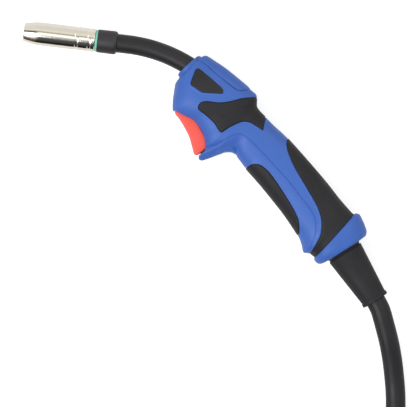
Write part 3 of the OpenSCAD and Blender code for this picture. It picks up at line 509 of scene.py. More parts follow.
COVER = outline(
    [(-16, 79.2), (-13.4, 78.7), (-10.4, 77.6), (-6.3, 75.1), (-2, 71.9), (7.5, 65.9), (13, 62.4),
     (16.9, 60.4), (20.4, 59.8), (24.5, 60.8), (28.4, 61.9), (34, 62.2)], [(34, 62.2)], [(30, 90)],
    [(-16, 90)])
GROOVE = spline([(0.6, 11.2), (2.4, 12.6), (9.2, 17.7), (13.9, 21.6), (17.9, 24.5), (21.7, 26.2),
                 (24.5, 26.3), (28, 25.2), (32.2, 22.7), (36.4, 19.8), (42, 14.9), (46.9, 11), (52.6, 6.1),
                 (58.8, 0.7), (64.4, -4.2), (70.1, -9.7), (74.6, -14.6), (81.8, -21.6), (85.4, -25.7),
                 (87.8, -29.3), (89.7, -33.7), (90.5, -38.1), (90.5, -42.6), (89.5, -48),
                 (88.1, -52.7), (86.3, -56.5)], 6)
GROOVE_HALF, GROOVE_DEPTH = 0.55, 0.45
CREASE = spline([(8, 38.1), (17.6, 42.1), (22.8, 45.5), (33, 48.4)], 12)
CREASE_HALF, CREASE_DEPTH = 0.8, 0.22
SCOOP = np.array([(18.4, 10.5), (20.6, 15.5), (23, 21)])
SCOOP_HALF, SCOOP_DEPTH = 4.5, 1.3
SEAM_HALF, SEAM_DEPTH = 0.3, 0.18
# Each pocket's depth, how wide its wall is, and the depth and width of the bevel round it
PAD_POCKET = (1.45, 0.22, 0.0, 1.0)
PLATE_POCKET = (1.35, 0.12, 0.2, 0.3)
COVER_POCKET = (2.15, 0.12, 0.3, 0.5)
# The low bead round the pads and the plate, and where it rises and falls outside their outlines
LIP, LIP_RISE, LIP_FALL = 0.14, (0.1, 0.4), (1.0, 1.35)
handle = Surface(HANDLE)


def ramp(d, start, end):
    """0 before start and 1 after end."""
    return np.clip((d - start) / (end - start), 0, 1)


def shell_height(plane, where):
    """How far the shell's outside stands over the plain surface."""
    lift = -SEAM_DEPTH * (1 - ramp(np.minimum(where[:, 1], handle.girth - where[:, 1]), 0, SEAM_HALF))
    pad = np.min([depth_inside(plane, line) for line in PADS.values()], axis=0)
    plate, cover = depth_inside(plane, PLATE), depth_inside(plane, COVER)
    for edge, pocket in ((pad, PAD_POCKET), (plate, PLATE_POCKET), (cover, COVER_POCKET)):
        depth, wall, bevel, reach = pocket
        lift = np.minimum(lift, -depth * ramp(-edge, 0, wall) - bevel * (1 - ramp(edge, 0, reach)))
    groove = line_distance(plane, GROOVE) / GROOVE_HALF
    lift = np.minimum(lift, -GROOVE_DEPTH * np.sqrt(np.clip(1 - groove ** 2, 0, 1)))
    for edge in (pad, plate):
        lift += LIP * ramp(edge, *LIP_RISE) * (1 - ramp(edge, *LIP_FALL))
    return lift - SCOOP_DEPTH * np.exp(-(line_distance(plane, SCOOP) / SCOOP_HALF) ** 2)


def shell_lines():
    """The lines along which the shell's outside has edges."""
    side = unit(np.gradient(GROOVE, axis=0))[:, ::-1] * [-1, 1]
    lines = [(GROOVE + side * by, False) for by in GROOVE_HALF * np.array([-1, -0.45, 0, 0.45, 1])]
    for steps, *outlines in (((0, -PAD_POCKET[1], LIP_RISE[1], *LIP_FALL), *PADS.values()),
                             ((*LIP_FALL[::-1], 0.35, 0, -PLATE_POCKET[1]), PLATE),
                             ((COVER_POCKET[3], 0, -COVER_POCKET[1]), COVER)):
        lines += [(offset_line(line, by), True) for line in outlines for by in steps]
    return lines


def both_sides(name, points, faces, close=False):
    """A sheet of the left side with its mirror image, as one surface; close makes a body of it."""
    points = np.vstack([points, points * [1, 1, -1]])
    faces = np.vstack([faces, faces[:, ::-1] + len(points) // 2])
    return clean(new_object(name, points, faces), 2e-3, close)


def loft(name, stations, grow=0.0, rows=60, columns=72):
    """A closed smooth body through sections; grow makes it larger all round."""
    turn = round_turn(columns)
    points = []
    for s in sections(stations, rows)[0]:
        half = np.linalg.norm(s[:2] - s[2:4]) / 2
        t = (half + grow) * superellipse(np.cos(turn), 2 / s[5])
        height = (s[4] + grow) * superellipse(np.sin(turn), 2 / s[5])
        u = (s[:2] - s[2:4]) / (2 * half)
        points.append(np.column_stack([(s[:2] + s[2:4]) / 2 + t[:, None] * u, height]))
    return skin(name, points)


def slab(name, line, low, high):
    """A closed outline extruded from one depth to another."""
    return skin(name, [np.column_stack([line, np.full(len(line), z)]) for z in (low, high)])


def post(name, at, radius, low, high):
    turn = round_turn(48)
    return slab(name, at + radius * np.column_stack([np.cos(turn), np.sin(turn)]), low, high)


def ball(name, radius):
    half_turn = np.linspace(math.pi, 0, 65)
    return lathe(name, [(radius * math.cos(a), max(1e-4, radius * math.sin(a))) for a in half_turn],
                 BALL_CENTRE, BOOT_ANGLE, closed=False)


# ---- camera, floor and light

CAMERA_AT = (5.7, -29.6, 2500.0)
PHOTO_ROLL = 6.85
PHOTO_WIDTH = 322.4  # of the torch's plane, in mm
SENSOR = 36.0

camera_data = bpy.data.cameras.new("camera")
camera_data.sensor_width = SENSOR
camera_data.lens = SENSOR * CAMERA_AT[2] / PHOTO_WIDTH
camera_data.clip_start = 0.05
camera_data.clip_end = 50
camera = link("camera", camera_data)
camera.location = place(CAMERA_AT)
camera.rotation_euler = (0, 0, math.radians(PHOTO_ROLL))
bpy.context.scene.camera = camera
bpy.context.scene.view_settings.view_transform = "Standard"


class Graph:
    """A cleared node tree, and short ways to add to it."""

    def __init__(self, tree):
        tree.nodes.clear()
        self.nodes, self.links = tree.nodes, tree.links

    def add(self, kind, inputs, **settings):
        """The outputs of a new node. inputs has a value, or another node's output, for each socket."""
        node = self.nodes.new("ShaderNode" + kind)
        for key, value in settings.items():
            setattr(node, key, value)
        for key, value in inputs.items():
            socket = node.inputs[key]
            if isinstance(value, bpy.types.NodeSocket):
                self.links.new(value, socket)
            else:
                socket.default_value = (*value, 1) if socket.type == "RGBA" else value
        return node.outputs

    def calc(self, operation, *values):
        return self.add("Math", dict(enumerate(values)), operation=operation)[0]

    def span(self, value, low, high, to_low=0.0, to_high=1.0):
        """The value, carried from low..high to to_low..to_high and held at its ends."""
        return self.add("MapRange", {"Value": value, "From Min": low, "From Max": high,
                                     "To Min": to_low, "To Max": to_high})["Result"]

    def mix(self, factor, a, b):
        """A colour from a to b."""
        return self.add("Mix", {"Factor": factor, "A": a, "B": b}, data_type="RGBA")["Result"]

    def pick(self, factor, a, b):
        """Shader a, or b where the factor is 1."""
        return self.add("MixShader", {0: factor, 1: a, 2: b})[0]


def node_material(name):
    material = bpy.data.materials.new(name)
    material.use_nodes = True
    return material, Graph(material.node_tree)


WHITE = (1.0, 1.0, 1.0)
# Tones of the painted reflections below; the brightest, above white, is a painted highlight
DARK, SHADE, PAINTED_HIGHLIGHT = (0.012, 0.011, 0.012), (0.075, 0.075, 0.075), (1.3, 1.3, 1.3)
GREY, PALE = (0.42, 0.42, 0.43), (0.62, 0.61, 0.60)
BROWN, TAN = (0.15, 0.12, 0.075), (0.50, 0.44, 0.34)
CREAM, WALL = (0.88, 0.87, 0.83), (0.80, 0.77, 0.70)
# The painted reflection that a mirror lying along X sees, from the horizon over -Y, overhead (0.5), to the
# one over +Y
PAINTED_REFLECTION_ACROSS = [(0.0, DARK), (0.04, DARK), (0.18, SHADE), (0.26, SHADE), (0.35, GREY), (0.41, PALE),
               (0.45, PAINTED_HIGHLIGHT), (0.545, PAINTED_HIGHLIGHT), (0.585, TAN), (0.63, TAN), (0.66, CREAM), (0.72, CREAM),
               (0.80, WALL), (0.94, WALL), (1.0, CREAM)]
# The same painted reflection for a mirror that faces a little towards -X, as the nozzle's taper does
PAINTED_REFLECTION_AHEAD = [(0.0, BROWN), (0.10, BROWN), (0.24, CREAM), (0.34, PAINTED_HIGHLIGHT), (0.49, PAINTED_HIGHLIGHT), (0.53, BROWN),
              (0.61, BROWN), (0.65, CREAM), (0.72, CREAM), (0.80, WALL), (1.0, CREAM)]
AHEAD_SIDE = (-0.26, -0.16)  # the X of the directions where the second takes over
# Painted dark reflection: mirrors alone see the floor dark in this corner
DARK_REFLECTION_CORNER = (-45.0, -20.0)  # mirrors see the floor dark at x and y below these, in mm
FLOOR_GREY, FLOOR_GLOW = (0.80, 0.80, 0.80), 0.62
FLOOR_HALF = 4.0  # in metres
WORLD_LIGHT = 0.55


def floor_material():
    """White where the camera sees it, with the object's soft shadow kept; mirrors see a duller painted
    reflection, cream with a painted dark corner.
    """
    material, graph = node_material("floor")
    spot = graph.add("SeparateXYZ", {0: graph.add("TexCoord", {})["Object"]})
    # A painted dark reflection: only glossy rays see the floor dark in this corner
    dark = graph.calc("MULTIPLY", *[graph.calc("LESS_THAN", spot[axis], edge * MM)
                                    for axis, edge in zip("XY", DARK_REFLECTION_CORNER)])
    mirrored = graph.add("Emission", {"Color": graph.mix(dark, CREAM, DARK), "Strength": 1.0})[0]
    plain = graph.add("BsdfDiffuse", {"Color": FLOOR_GREY})[0]
    glow = graph.add("Emission", {"Color": WHITE, "Strength": FLOOR_GLOW})[0]
    path = graph.add("LightPath", {})
    seen = graph.calc("MAXIMUM", path["Is Camera Ray"], path["Is Transmission Ray"])
    shader = graph.pick(seen, plain, graph.add("AddShader", {0: plain, 1: glow})[0])
    graph.add("OutputMaterial", {0: graph.pick(path["Is Glossy Ray"], shader, mirrored)})
    return material


floor = link("floor", bpy.data.meshes.new("floor"))
corners = ((-1, -1), (1, -1), (1, 1), (-1, 1))
floor.data.from_pydata([(x * FLOOR_HALF, y * FLOOR_HALF, 0) for x, y in corners], [], [(0, 1, 2, 3)])
floor.data.materials.append(floor_material())


def world_with_painted_reflection():
    """Even light; mirror-like surfaces see a painted reflection instead, in bands that are dark over -Y."""
    made = bpy.data.worlds.new("studio")
    made.use_nodes = True
    graph = Graph(made.node_tree)
    even = graph.add("Background", {"Color": WHITE, "Strength": WORLD_LIGHT})[0]
    sides = graph.add("SeparateXYZ", {0: graph.add("TexCoord", {})["Generated"]})
    # 0 at the horizon over -Y, 0.5 overhead, 1 at the horizon over +Y
    turn = graph.calc("DIVIDE", graph.calc("ARCTAN2", sides["Z"], graph.calc("MULTIPLY", sides["Y"], -1.0)),
                      math.pi)

    def bands(stops):
        node = graph.nodes.new("ShaderNodeValToRGB")
        graph.links.new(turn, node.inputs[0])
        ends = node.color_ramp.elements
        ends[0].position, ends[1].position = 0.0, 1.0
        ends[0].color, ends[1].color = (*stops[0][1], 1), (*stops[-1][1], 1)
        for position, colour in stops[1:-1]:
            node.color_ramp.elements.new(position).color = (*colour, 1)
        return node.outputs["Color"]

    left = graph.span(sides["X"], *AHEAD_SIDE)
    # room: the painted reflection, which only glossy rays see
    room = graph.add("Background", {"Color": graph.mix(left, bands(PAINTED_REFLECTION_AHEAD), bands(PAINTED_REFLECTION_ACROSS))})[0]
    graph.add("OutputWorld", {0: graph.pick(graph.add("LightPath", {})["Is Glossy Ray"], even, room)})
    return made


bpy.context.scene.world = world_with_painted_reflection()


def square_light(name, location, size, power):
    data = bpy.data.lights.new(name, "AREA")
    data.size = size
    data.energy = power
    lamp = link(name, data)
    lamp.location = location
    lamp.rotation_mode = "QUATERNION"
    lamp.rotation_quaternion = (-Vector(location)).to_track_quat("-Z", "Y")


square_light("key", (-0.9, -0.6, 1.5), 1.0, 17)
square_light("fill", (0.9, 0.9, 1.5), 1.2, 6)

# ---- materials

BLUE = (0.050, 0.142, 0.520)
SOFT_BLACK = (0.015, 0.0146, 0.0178)
HARD_BLACK = (0.016, 0.016, 0.019)
# The sleeve's black, lighter than the hard black: partly its own softer tone and partly painted sheen
SLEEVE_BLACK_WITH_PAINTED_SHEEN = (0.024, 0.022, 0.027)
CABLE_BLACK = (0.014, 0.0135, 0.0165)
RED = (1.0, 0.105, 0.075)
NICKEL = (0.86, 0.83, 0.76)
COPPER = (0.72, 0.36, 0.22)
BRASS = (0.72, 0.53, 0.24)
STEEL = (0.55, 0.56, 0.58)
TEAL = (0.22, 0.66, 0.52)
TINT_SIZE, NOISE_SPAN = 18.0, (0.3, 0.7)  # size in mm of the uneven tint, and most of a noise's values
WEAR_SPOTS, WEAR_EDGE, WEAR_SHADE = (2.2, 6.0), (0.56, 0.70), 0.55


def surface(name, colour, roughness, grain=0.3, grain_depth=0.02, tint=0.06, rough_spread=0.08,
            metallic=0.0, specular=0.5, wear=0.0):
    """A moulded, rubber or metal surface: fine grain of the given size in mm, uneven tint and gloss."""
    material, graph = node_material(name)
    where = graph.add("TexCoord", {})["Object"]

    def noise(size, detail=3.0):
        return graph.add("TexNoise", {"Scale": 1 / (size * MM), "Detail": detail, "Vector": where})["Fac"]

    def shade(by):
        return [min(1, c * by) for c in colour]

    fine, broad = noise(grain), noise(TINT_SIZE)
    rough = graph.span(broad, *NOISE_SPAN, max(0.02, roughness - rough_spread), roughness + rough_spread)
    base = graph.mix(broad, shade(1 - tint), shade(1 + tint))
    if wear:
        worn = graph.span(noise(*WEAR_SPOTS), *WEAR_EDGE, 0.0, wear)
        base = graph.mix(worn, base, shade(WEAR_SHADE))
    bump = graph.add("Bump", {"Strength": 1.0, "Distance": grain_depth * MM, "Height": fine})["Normal"]
    shader = graph.add("BsdfPrincipled", {"Base Color": base, "Metallic": metallic, "Roughness": rough,
                                          "Specular IOR Level": specular, "Normal": bump})[0]
    graph.add("OutputMaterial", {0: shader})
    return material


looks = {
    "shell_blue": surface("moulded_blue", BLUE, 0.5, grain=0.35, grain_depth=0.012, specular=0.38),
    "soft_black": surface("soft_rubber", SOFT_BLACK, 0.62, grain=0.28, grain_depth=0.03, tint=0.10,
                          specular=0.32),
    "hard_black": surface("hard_black", HARD_BLACK, 0.45, grain=0.4, grain_depth=0.015, specular=0.35),
    # The sleeve's lighter black: partly its own softer tone, partly painted sheen
    "sleeve_black_with_painted_sheen": surface("sleeve_black_with_painted_sheen", SLEEVE_BLACK_WITH_PAINTED_SHEEN, 0.48, grain=0.4, tint=0.14),
    "cable_black": surface("cable_jacket", CABLE_BLACK, 0.5, grain=0.5, grain_depth=0.015, specular=0.32),
    "trigger_red": surface("moulded_red", RED, 0.45, grain=0.4, grain_depth=0.01, tint=0.03),
    "nickel": surface("nickel_plate", NICKEL, 0.09, grain=0.6, grain_depth=0.03, metallic=1.0,
                      tint=0.03, rough_spread=0.03, wear=0.12),
    "copper": surface("copper", COPPER, 0.3, metallic=1.0, wear=0.4),
    "brass": surface("brass", BRASS, 0.28, metallic=1.0, wear=0.2),
    "steel": surface("zinc_steel", STEEL, 0.34, metallic=1.0, wear=0.2),
    "teal": surface("teal_insulator", TEAL, 0.4, grain_depth=0.01),
}
slot_of = {row["node"]: row["material_slot"] for row in frame["record"]["subparts"]}
for node_name, node in frame["nodes"].items():
    node.data.materials.clear()
    node.data.materials.append(looks[slot_of[node_name]])
    smooth(node.data, 30)

# ---- handle

def bar(name, start, end, radius):
    """A round bar along the grip."""
    return lathe(name, [(start, 1e-3), (start, radius), (end, radius), (end, 1e-3)], NECK_FOOT, GRIP_ANGLE,
                 64, closed=False)


def block(name, x, y, z):
    """A bar with straight sides; x, y and z are (from, to), x along the grip."""
    u = direction(GRIP_ANGLE)
    v = np.array([-u[1], u[0]])
    corners = ((x[0], y[0]), (x[1], y[0]), (x[1], y[1]), (x[0], y[1]))
    return slab(name, np.array([NECK_FOOT + a * u + b * v for a, b in corners]), *z)


def arc_bar(name, start, end, radius, bore=0.0, lead=0.0):
    """A bar or tube along the neck's bend, from one angle of it to another, after a straight lead."""
    turn = round_turn(64)
    centre = NECK_FOOT + NECK_RADIUS * direction(GRIP_ANGLE - 90)
    stops = [(a, 0.0) for a in np.linspace(start, end, max(3, int((end - start) * 1.5)))]
    if lead:
        stops = [(start, k) for k in np.linspace(-lead, -lead / 8, 8)] + stops

    def row(stop, r):
        out = direction(90 - stop[0])
        middle = centre + NECK_RADIUS * out + stop[1] * np.array([out[1], -out[0]])
        return np.column_stack([middle + r * np.cos(turn)[:, None] * out, r * np.sin(turn)])

    rows = [row(stop, radius) for stop in stops]
    if bore:
        rows += [row(stop, bore) for stop in reversed(stops)]
    return skin(name, rows, bool(bore))


def join(name, objs):
    """One object of several closed bodies that don't touch."""
    bm = bmesh.new()
    for obj in objs:
        bm.from_mesh(obj.data)
        bpy.data.objects.remove(obj)
    mesh = bpy.data.meshes.new(name)
    bm.to_mesh(mesh)
    bm.free()
    return link(name, mesh)


def copy_of(obj, name, mirrored=False):
    twin = link(name, obj.data.copy())
    if mirrored:
        twin.data.transform(Matrix.Translation((0, 0, 2 * REST_Z * MM)) @ Matrix.Scale(-1, 4, (0, 0, 1)))
        twin.data.flip_normals()
    return twin


def turned_outline(line, angle):
    """An outline turned about the trigger's pin."""
    u = direction(angle)
    return (line - PIVOT) @ np.array([u, [-u[1], u[0]]]) + PIVOT


PIVOT = np.array([-19.0, 43.5])
TRIGGER = outline(
    [(0.46, 16.97), (-14.04, 37.47)],
    [(-14.04, 37.47), (-16, 41), (-19.3, 42.9), (-22.5, 43), (-25.5, 41.4),
     (-27.8, 39.2), (-28.2, 37.6), (-27.4, 35.9), (-23.6, 32.1), (-18.9, 26), (-14.9, 19.8),
     (-12.6, 14.5), (-10.9, 10.2), (-9.8, 7.4), (-8.2, 6.6), (-6.4, 7), (-2.6, 10.4), (-0.6, 13.5),
     (0.46, 16.97)])
TRIGGER_HALF, TRIGGER_FILLET, TRIGGER_GAP = 8.0, 1.3, 0.5
TRIGGER_TRAVEL = 5.0  # in degrees
# Round holes and rooms: the radius, and from which depth to which
TRIGGER_PIN_HOLE, SPRING_ROOM, SHELL_PIN_HOLE = (1.55, -12, 12), (5.2, 2, 7.4), (2.7, -14, 14)
SCREW_HOLE, SCREW_HEAD_ROOM = (1.6, -30, 10), (2.9, -60, -8)
TOE = np.array([(4.2, 26.4), (2.5, 26.4), (1.4, 18), (0, 13.4), (-1.8, 11.15), (-4.95, 8.75), (-4.4, 7.2),
                (-1.6, 9.0), (1.4, 12.2), (2.8, 17)], float)
TOE_SIDES, TOE_ROOM = (8.55, 9.3), (8.4, 9.4)
SCREWS = [(21.6, 56.9), (68.8, 11), (49.2, -4.6), (101.8, -22)]
SCREW_BOSS_R = 3.2
FRAME_POSTS = [(-12, 43.3), (-0.5, 35.5)]
FRAME_POST_R, FRAME_HALF = 3.0, 10.3
SHELL_WALL, RIB_WIDTH = 3.2, 2.0
RIB_REACH = 2.4  # ribs and bosses end this far inside the outer surface
RIBS = {7: -9.5, 20: -9.5, 64: -40.0, 96: -40.0, 120: -40.0}  # places along the grip, and lower ends
# Bars and holes along the neck's bend, in degrees, or along the grip: from, to and radius
NECK_HOLE, NECK_JACKET, NECK_BORE = (18, 47, 7.55), (0, 46.5, 7.25), 5.0
GRIP_HOLES = {"block": (0, 33, 9.4), "cable": (32, 141, 8.05), "ball_neck": (122, 141, 11.5)}
WIRE_CHANNEL = ((63, 123), (-4.5, 3), (-12.2, 12.2))
FAR = 40.0  # past the handle, to either side
WHOLE = (-300, 300)
PAD_GAP, PLATE_GAP, COVER_GAP = 0.18, 0.15, 0.2
# How far pad and plate stand proud, their edge's rounding and their thickness
PAD_FORM, PLATE_FORM = (0.4, 1.0, 1.1), (0.0, 0.25, 1.0)
COVER_FILLET, COVER_THICKNESS, COVER_STEP, COVER_STEP_WIDTH = 0.35, 1.95, 0.4, 1.9
COVER_FADE = (3.0, 12.0)  # how far inside its edge the raised step dies away
COVER_INSIDE = (4.0, 58.0, 0.0)


def build_horn():
    """The finger stop: a blade that leaves the cheek at its crest and is hollowed for the finger below."""
    row = np.array(HORN)
    along = way_along(row[:, :2])
    row = pchip(along, row, np.linspace(0, along[-1], 90))
    side = np.array(HORN_SIDE)
    at = np.linspace(side[0, 0], 1, 50)
    side = pchip(side[:, 0], side[:, 1:], at)[:, 0]
    rows = []
    for x, y, heel_x, heel_y, half in row:
        way = np.array([heel_x - x, heel_y - y])
        left = np.column_stack([[x, y] + at[:, None] * way, half * side])
        rows.append(np.vstack([left, left[::-1] * [1, 1, -1]]))
    horn = skin("horn", rows)
    cut(horn, slab("notch", np.array(NOTCH, float), -FAR, FAR))
    return horn


def build_inside():
    """The shells' ribs and bosses, with their ends in the shells' wall."""
    inner = join("inner", [post("boss", at, SCREW_BOSS_R, -FAR, FAR) for at in SCREWS]
                 + [post("post", at, FRAME_POST_R, side * FRAME_HALF, side * FAR)
                    for at in FRAME_POSTS for side in (-1, 1)])
    for x, low in RIBS.items():
        cut(inner, block("rib", (x, x + RIB_WIDTH), (low, FAR), (-FAR, FAR)), "UNION")
    cut(inner, loft("inside", HANDLE[2:21], -RIB_REACH), "INTERSECT")
    return inner


def build_shells():
    """Both shells as one body, hollowed, ribbed and cut, then parted at the middle."""
    body = both_sides("shells", *sheet(handle, shell_lines(), shell_height), close=True)
    cut(body, loft("collar", COLLAR), "UNION")
    cut(body, build_horn(), "UNION")
    cut(body, loft("cavity", HANDLE[2:20], -SHELL_WALL))
    cut(body, build_inside(), "UNION")
    cut(body, arc_bar("neck_hole", *NECK_HOLE))
    for name, size in GRIP_HOLES.items():
        cut(body, bar(name, *size))
    cut(body, block("channel", *WIRE_CHANNEL))
    cut(body, ball("seat", SEAT_R))
    swept = offset_line(even_line(TRIGGER, 0.5), TRIGGER_GAP)
    room = TRIGGER_HALF + TRIGGER_GAP
    for angle in (0, TRIGGER_TRAVEL / 2, TRIGGER_TRAVEL):
        cut(body, slab("sweep", turned_outline(swept, angle), -room, room))
    for side in (-1, 1):
        cut(body, slab("toe_room", offset_line(TOE, 0.1), *(side * z for z in TOE_ROOM)))
    cut(body, post("pin_hole", PIVOT, *SHELL_PIN_HOLE))
    for at in SCREWS:
        cut(body, post("screw_hole", at, *SCREW_HOLE))
    for side, shell, low, high in (("left", copy_of(body, "left"), 0, 60), ("right", body, -60, 0)):
        cut(shell, block("half", WHOLE, WHOLE, (low, high)), "INTERSECT")
        for at in SCREWS if side == "right" else ():
            cut(shell, post("head_room", at, *SCREW_HEAD_ROOM))
        shell.name = f"{side}_shell"
        dress(shell, "shell_blue", "handle", f"shell_{side}")


def edge_drop(plane, line, gap, fillet):
    """How far a let-in piece falls at its rounded edge."""
    q = np.clip(-gap - depth_inside(plane, line), 0, fillet)
    return fillet - np.sqrt(np.clip(fillet ** 2 - (fillet - q) ** 2, 0, None))


def thicken(obj, thickness, outwards):
    """Gives a sheet its thickness, below the side that faces outwards."""
    if sum(outwards(p) * p.area for p in obj.data.polygons) < 0:
        obj.data.flip_normals()
    m = obj.modifiers.new("thick", "SOLIDIFY")
    m.thickness = thickness * MM
    m.offset = -1
    return bake(obj)


def patch(name, line, gap, proud, fillet, thickness, crease=None):
    """A let-in piece with rounded edges, on the left side; it follows the handle's surface."""
    lines = [(offset_line(line, -gap - q), True) for q in (0, 0.12 * fillet, 0.4 * fillet, fillet)]
    if crease is not None:
        lines += [(offset_line(crease, by), False) for by in (-1, -0.4, 0, 0.4, 1)]

    def height(plane, where):
        level = proud - edge_drop(plane, line, gap, fillet)
        if crease is not None:
            level -= CREASE_DEPTH * np.exp(-(line_distance(plane, crease) / CREASE_HALF) ** 2)
        return level

    obj = clean(new_object(name, *sheet(handle, lines, height, line, gap)))
    return thicken(obj, thickness, lambda face: face.normal.z)


def build_let_in_pieces():
    """The pads and label plates: patches on the left, and their mirror images on the right."""
    pieces = {name: (line, PAD_GAP, *PAD_FORM, "soft_black") for name, line in PADS.items()}
    pieces["name_plate"] = (PLATE, PLATE_GAP, *PLATE_FORM, "hard_black")
    for name, (*form, slot) in pieces.items():
        left = patch(name, *form, crease=CREASE if name == "shoulder_pad" else None)
        for obj, side in ((left, "left"), (copy_of(left, name, mirrored=True), "right")):
            obj.name = f"{side}_{name}"
            dress(obj, slot, "handle", f"{name}_{side}", sharp=50)


def build_top_cover():
    """The cover over the ridge, with a raised middle and a step round it."""
    steps = (0, 0.1, COVER_FILLET, COVER_STEP_WIDTH, COVER_STEP_WIDTH + 0.3)
    lines = [(offset_line(COVER, -COVER_GAP - q), True) for q in steps]

    def height(plane, where):
        deep = line_distance(plane, COVER[:-3]) - COVER_GAP
        fade = 1 - smoothstep(ramp(deep, *COVER_FADE))
        step = COVER_STEP * ramp(deep, COVER_FILLET, COVER_STEP_WIDTH) * fade
        return step - edge_drop(plane, COVER, COVER_GAP, COVER_FILLET)

    obj = both_sides("cover", *sheet(handle, lines, height, COVER, COVER_GAP))
    inside = Vector(place(COVER_INSIDE))
    thicken(obj, COVER_THICKNESS, lambda face: face.normal.dot(face.center - inside))
    dress(obj, "shell_blue", "handle", "top_cover")


def build_ring():
    ring = loft("ring", RING, rows=90, columns=120)
    cut(ring, ball("seat", SEAT_R))
    dress(ring, "shell_blue", "handle", "rear_ring")


# ---- trigger

def build_trigger():
    """The lever: its outline, extruded to both sides with rounded edges."""
    line = even_line(TRIGGER, 0.6)
    angles = np.linspace(0, math.pi / 2, 6)
    rows = []
    for side, turn in [(-1, a) for a in angles[::-1]] + [(1, a) for a in angles]:
        row = offset_line(line, -TRIGGER_FILLET * (1 - math.cos(turn)))
        z = side * (TRIGGER_HALF - TRIGGER_FILLET * (1 - math.sin(turn)))
        rows.append(np.column_stack([row, np.full(len(row), z)]))
    obj = skin("trigger_lever", rows)
    cut(obj, post("pin_hole", PIVOT, *TRIGGER_PIN_HOLE))
    cut(obj, post("spring_room", PIVOT, *SPRING_ROOM))
    dress(obj, "trigger_red", "trigger_lever", "trigger")


def build_trigger_frame():
    """The frame, with the two toes that close the shell beside the trigger's lower end."""
    obj = clean(copy_of(frame["nodes"]["trigger_frame"], "trigger_carrier"))
    for side in (-1, 1):
        cut(obj, slab("toe", TOE, *(side * z for z in TOE_SIDES)), "UNION")
    dress(obj, "hard_black", "handle", "trigger_frame")


# ---- neck, nozzle and boot

SLEEVE_REAR = -8.4
SLEEVE_FRONT = -24.0
NOZZLE_REAR = -25.8
NOZZLE_MOUTH = -81.4


def build_neck():
    jacket = arc_bar("neck_jacket", *NECK_JACKET, NECK_BORE, lead=-SLEEVE_REAR)
    dress(jacket, "hard_black", "handle", "neck_insulation")
    sleeve = lathe("sleeve", rounded([
        (SLEEVE_FRONT, NECK_BORE), (SLEEVE_FRONT, 8.5, 0.5), (SLEEVE_FRONT + 0.5, 8.9, 0.3),
        (SLEEVE_REAR - 2.2, 9.1, 1.0), (SLEEVE_REAR - 0.8, 8.6, 0.6), (SLEEVE_REAR, 7.2, 0.4),
        (SLEEVE_REAR, NECK_BORE)]), HEAD_ORIGIN, 0)
    # The sleeve's lighter black is partly painted sheen
    dress(sleeve, "hard_black", "handle", "neck_sleeve", look="sleeve_black_with_painted_sheen")


def build_nozzle():
    r, mouth, bore, inner = 9.0, 7.0, 6.0, 7.5

    def groove(ahead):
        x = NOZZLE_REAR - ahead
        return [(x - 0.4, r, 0.2), (x, r - 0.3, 0.2), (x + 1.8, r - 0.3, 0.2), (x + 2.2, r, 0.2)]

    taper = [(NOZZLE_MOUTH + 0.4, mouth, 0.3), (NOZZLE_MOUTH + 4.34, 8.0, 2.0),
             (NOZZLE_MOUTH + 8.7, 8.72, 2.0), (NOZZLE_MOUTH + 12.4, r, 1.8)]
    nozzle = lathe("nozzle", rounded([
        (NOZZLE_MOUTH + 6, bore), (NOZZLE_MOUTH, bore, 0.3), (NOZZLE_MOUTH, mouth - 0.4, 0.3), *taper,
        *groove(15), *groove(5.2), (NOZZLE_REAR - 0.4, r, 0.2), (NOZZLE_REAR, r - 0.4, 0.2),
        (NOZZLE_REAR, inner), (NOZZLE_MOUTH + 15.4, inner)]), HEAD_ORIGIN, 0, segments=128)
    dress(nozzle, "nickel", "nozzle", "gas_nozzle", sharp=40)


def build_boot():
    start, waist, end, bore, rim_r = 8.5, 10.05, BOOT_END, 7.85, 10.9
    boot = lathe("cable_boot", rounded([
        (start, bore), (start, 14.0), (waist, 13.3, 0.3), (waist + 0.2, 14.4, 0.5), (end - 3.0, 10.3, 0.5),
        (end - 2.4, rim_r, 0.4), (end, rim_r, 0.5), (end, bore)]), BALL_CENTRE, BOOT_ANGLE)
    dress(boot, "soft_black", "cable_support", "strain_relief_boot")


# ---- connector

def at_plug(name, profile, **how):
    """A turned piece of the connector; x runs from the cable's end towards the machine."""
    return lathe(name, profile, PLUG[:2], 180, z=PLUG[2], on_bench=True, **how)


def build_plug_boot():
    """The connector's bend relief, a cone with ring grooves."""
    tip_r, collar_r, bore, cone, end = 9.35, 12.6, 7.85, 26.0, 36.0
    groove, depth, fillet = 1.5, 1.1, 0.35

    def cone_r(x):
        return tip_r + (collar_r - tip_r) * x / cone

    profile = [(end, bore), (end, collar_r), (cone, collar_r, 0.8)]
    for x in (21.4, 17.2, 13.0, 8.8, 4.6):
        floor_r = cone_r(x) - depth
        profile += [(x + groove, cone_r(x + groove), fillet), (x + groove - 0.1, floor_r, fillet),
                    (x + 0.1, floor_r, fillet), (x, cone_r(x), fillet)]
    profile += [(0, tip_r, 0.5), (0, bore)]
    return dress(at_plug("plug_bend_relief", rounded(profile)), "soft_black", "cable_support", "plug_boot")


def build_plug_nut():
    """The hand nut, with flutes for the fingers all round."""
    start, end, bore, flutes, depth = 74.0, 104.0, 18.3, 16, 1.5
    r = PLUG[2]
    barrel = [(x, r) for x in np.linspace(start + 5, end - 1.6, 36)]
    profile = rounded([(start, bore), (start, r - 3, 0.8), (start + 3, r - 0.5, 1.5), *barrel,
                        (end - 0.4, r - 0.3, 0.5), (end, r - 1.4, 0.4), (end, bore + 0.8, 0.4),
                        (end - 0.8, bore)])

    def dip(x, radius, turns):
        if radius < r - 0.4:
            return np.zeros(len(turns))
        run = smoothstep((x - start - 6) / 3) * (1 - smoothstep((x - end + 5.5) / 3))
        return depth * run * smoothstep((np.cos(flutes * turns) + 0.1) / 0.9)

    nut = at_plug("connector_hand_nut", profile, segments=16 * flutes, dip=dip)
    return dress(nut, "hard_black", "connector_nut", "plug_nut")


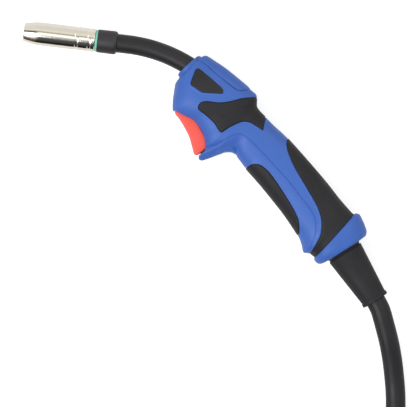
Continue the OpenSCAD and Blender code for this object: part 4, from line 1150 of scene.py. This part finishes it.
def build_pin_seal():
    """The gas seal in the power pin's groove."""
    x, ring_r, r = 108.4, 3.8, 0.7
    circle = [(x + r * math.cos(a), ring_r + r * math.sin(a)) for a in round_turn(20)]
    return dress(at_plug("pin_seal", circle), "soft_black", "cable_support", "gas_o_ring", sharp=0)


build_shells()
build_let_in_pieces()
build_top_cover()
build_ring()
build_trigger()
build_trigger_frame()
build_neck()
build_nozzle()
build_boot()
plug_pieces = [build_plug_boot(), build_plug_nut(), build_pin_seal()]

# ---- cable

CABLE_ROUTE = [
    (147.8, -94.9, 19.8), (151.6, -103.4, 19), (158, -119.6, 16.2), (162.3, -133, 12.7),
    (165.6, -146, 9.7), (168, -157.5, 8.3), (169.6, -168.7, 7.9), (171, -186, 7.75),
    (171.8, -206, 7.75), (172, -230, 7.75), (172, -260, 7.75)]
COIL_STEPS = 96  # to a turn


def coil_point(t):
    """A point of the coil after t turns: in to its middle turn, up a layer there, and out again."""
    middle = COIL_TURNS / 2
    r = COIL_OUT_R - COIL_PITCH * (middle - math.sqrt((t - middle) ** 2 + COIL_MIDDLE_BEND))
    a = -2 * math.pi * t
    rise = PLUG[2] - CABLE_R
    return np.array([COIL_CENTRE[0] + r * math.cos(a), COIL_CENTRE[1] + r * math.sin(a),
                     CABLE_R + rise * smoothstep((t - middle) / COIL_LAYER_TURN + 0.5)])


boot_tip = BALL_CENTRE + BOOT_END * direction(BOOT_ANGLE)
coil_first, coil_last = coil_point(0), coil_point(COIL_TURNS)
lead_in, lead_out = np.array([0, COIL_START_RUN, 0]), np.array([-COIL_END_RUN, 0, 0])
cable_path = np.concatenate([
    spline([(*boot_tip, REST_Z), *CABLE_ROUTE, coil_first + lead_in], 6),
    [coil_first + lead_in / 2],
    [coil_point(i / COIL_STEPS) for i in range(int(COIL_STEPS * COIL_TURNS) + 1)],
    [coil_last + lead_out / 2, coil_last + lead_out]])


def cord_curve(name, path, radius):
    curve = bpy.data.curves.new(name, "CURVE")
    curve.dimensions = "3D"
    curve.bevel_depth = radius * MM
    curve.bevel_resolution = 10
    curve.use_fill_caps = True
    line = curve.splines.new("POLY")
    line.points.add(len(path) - 1)
    for point, at in zip(line.points, place(path, on_bench=True)):
        point.co = (*at, 1)
    line.use_smooth = True
    return link(name, curve)


cable = cord_curve("torch_cable", cable_path, CABLE_R)
dress(cable, "cable_black", "cable_support", "cable", "cable_coil")
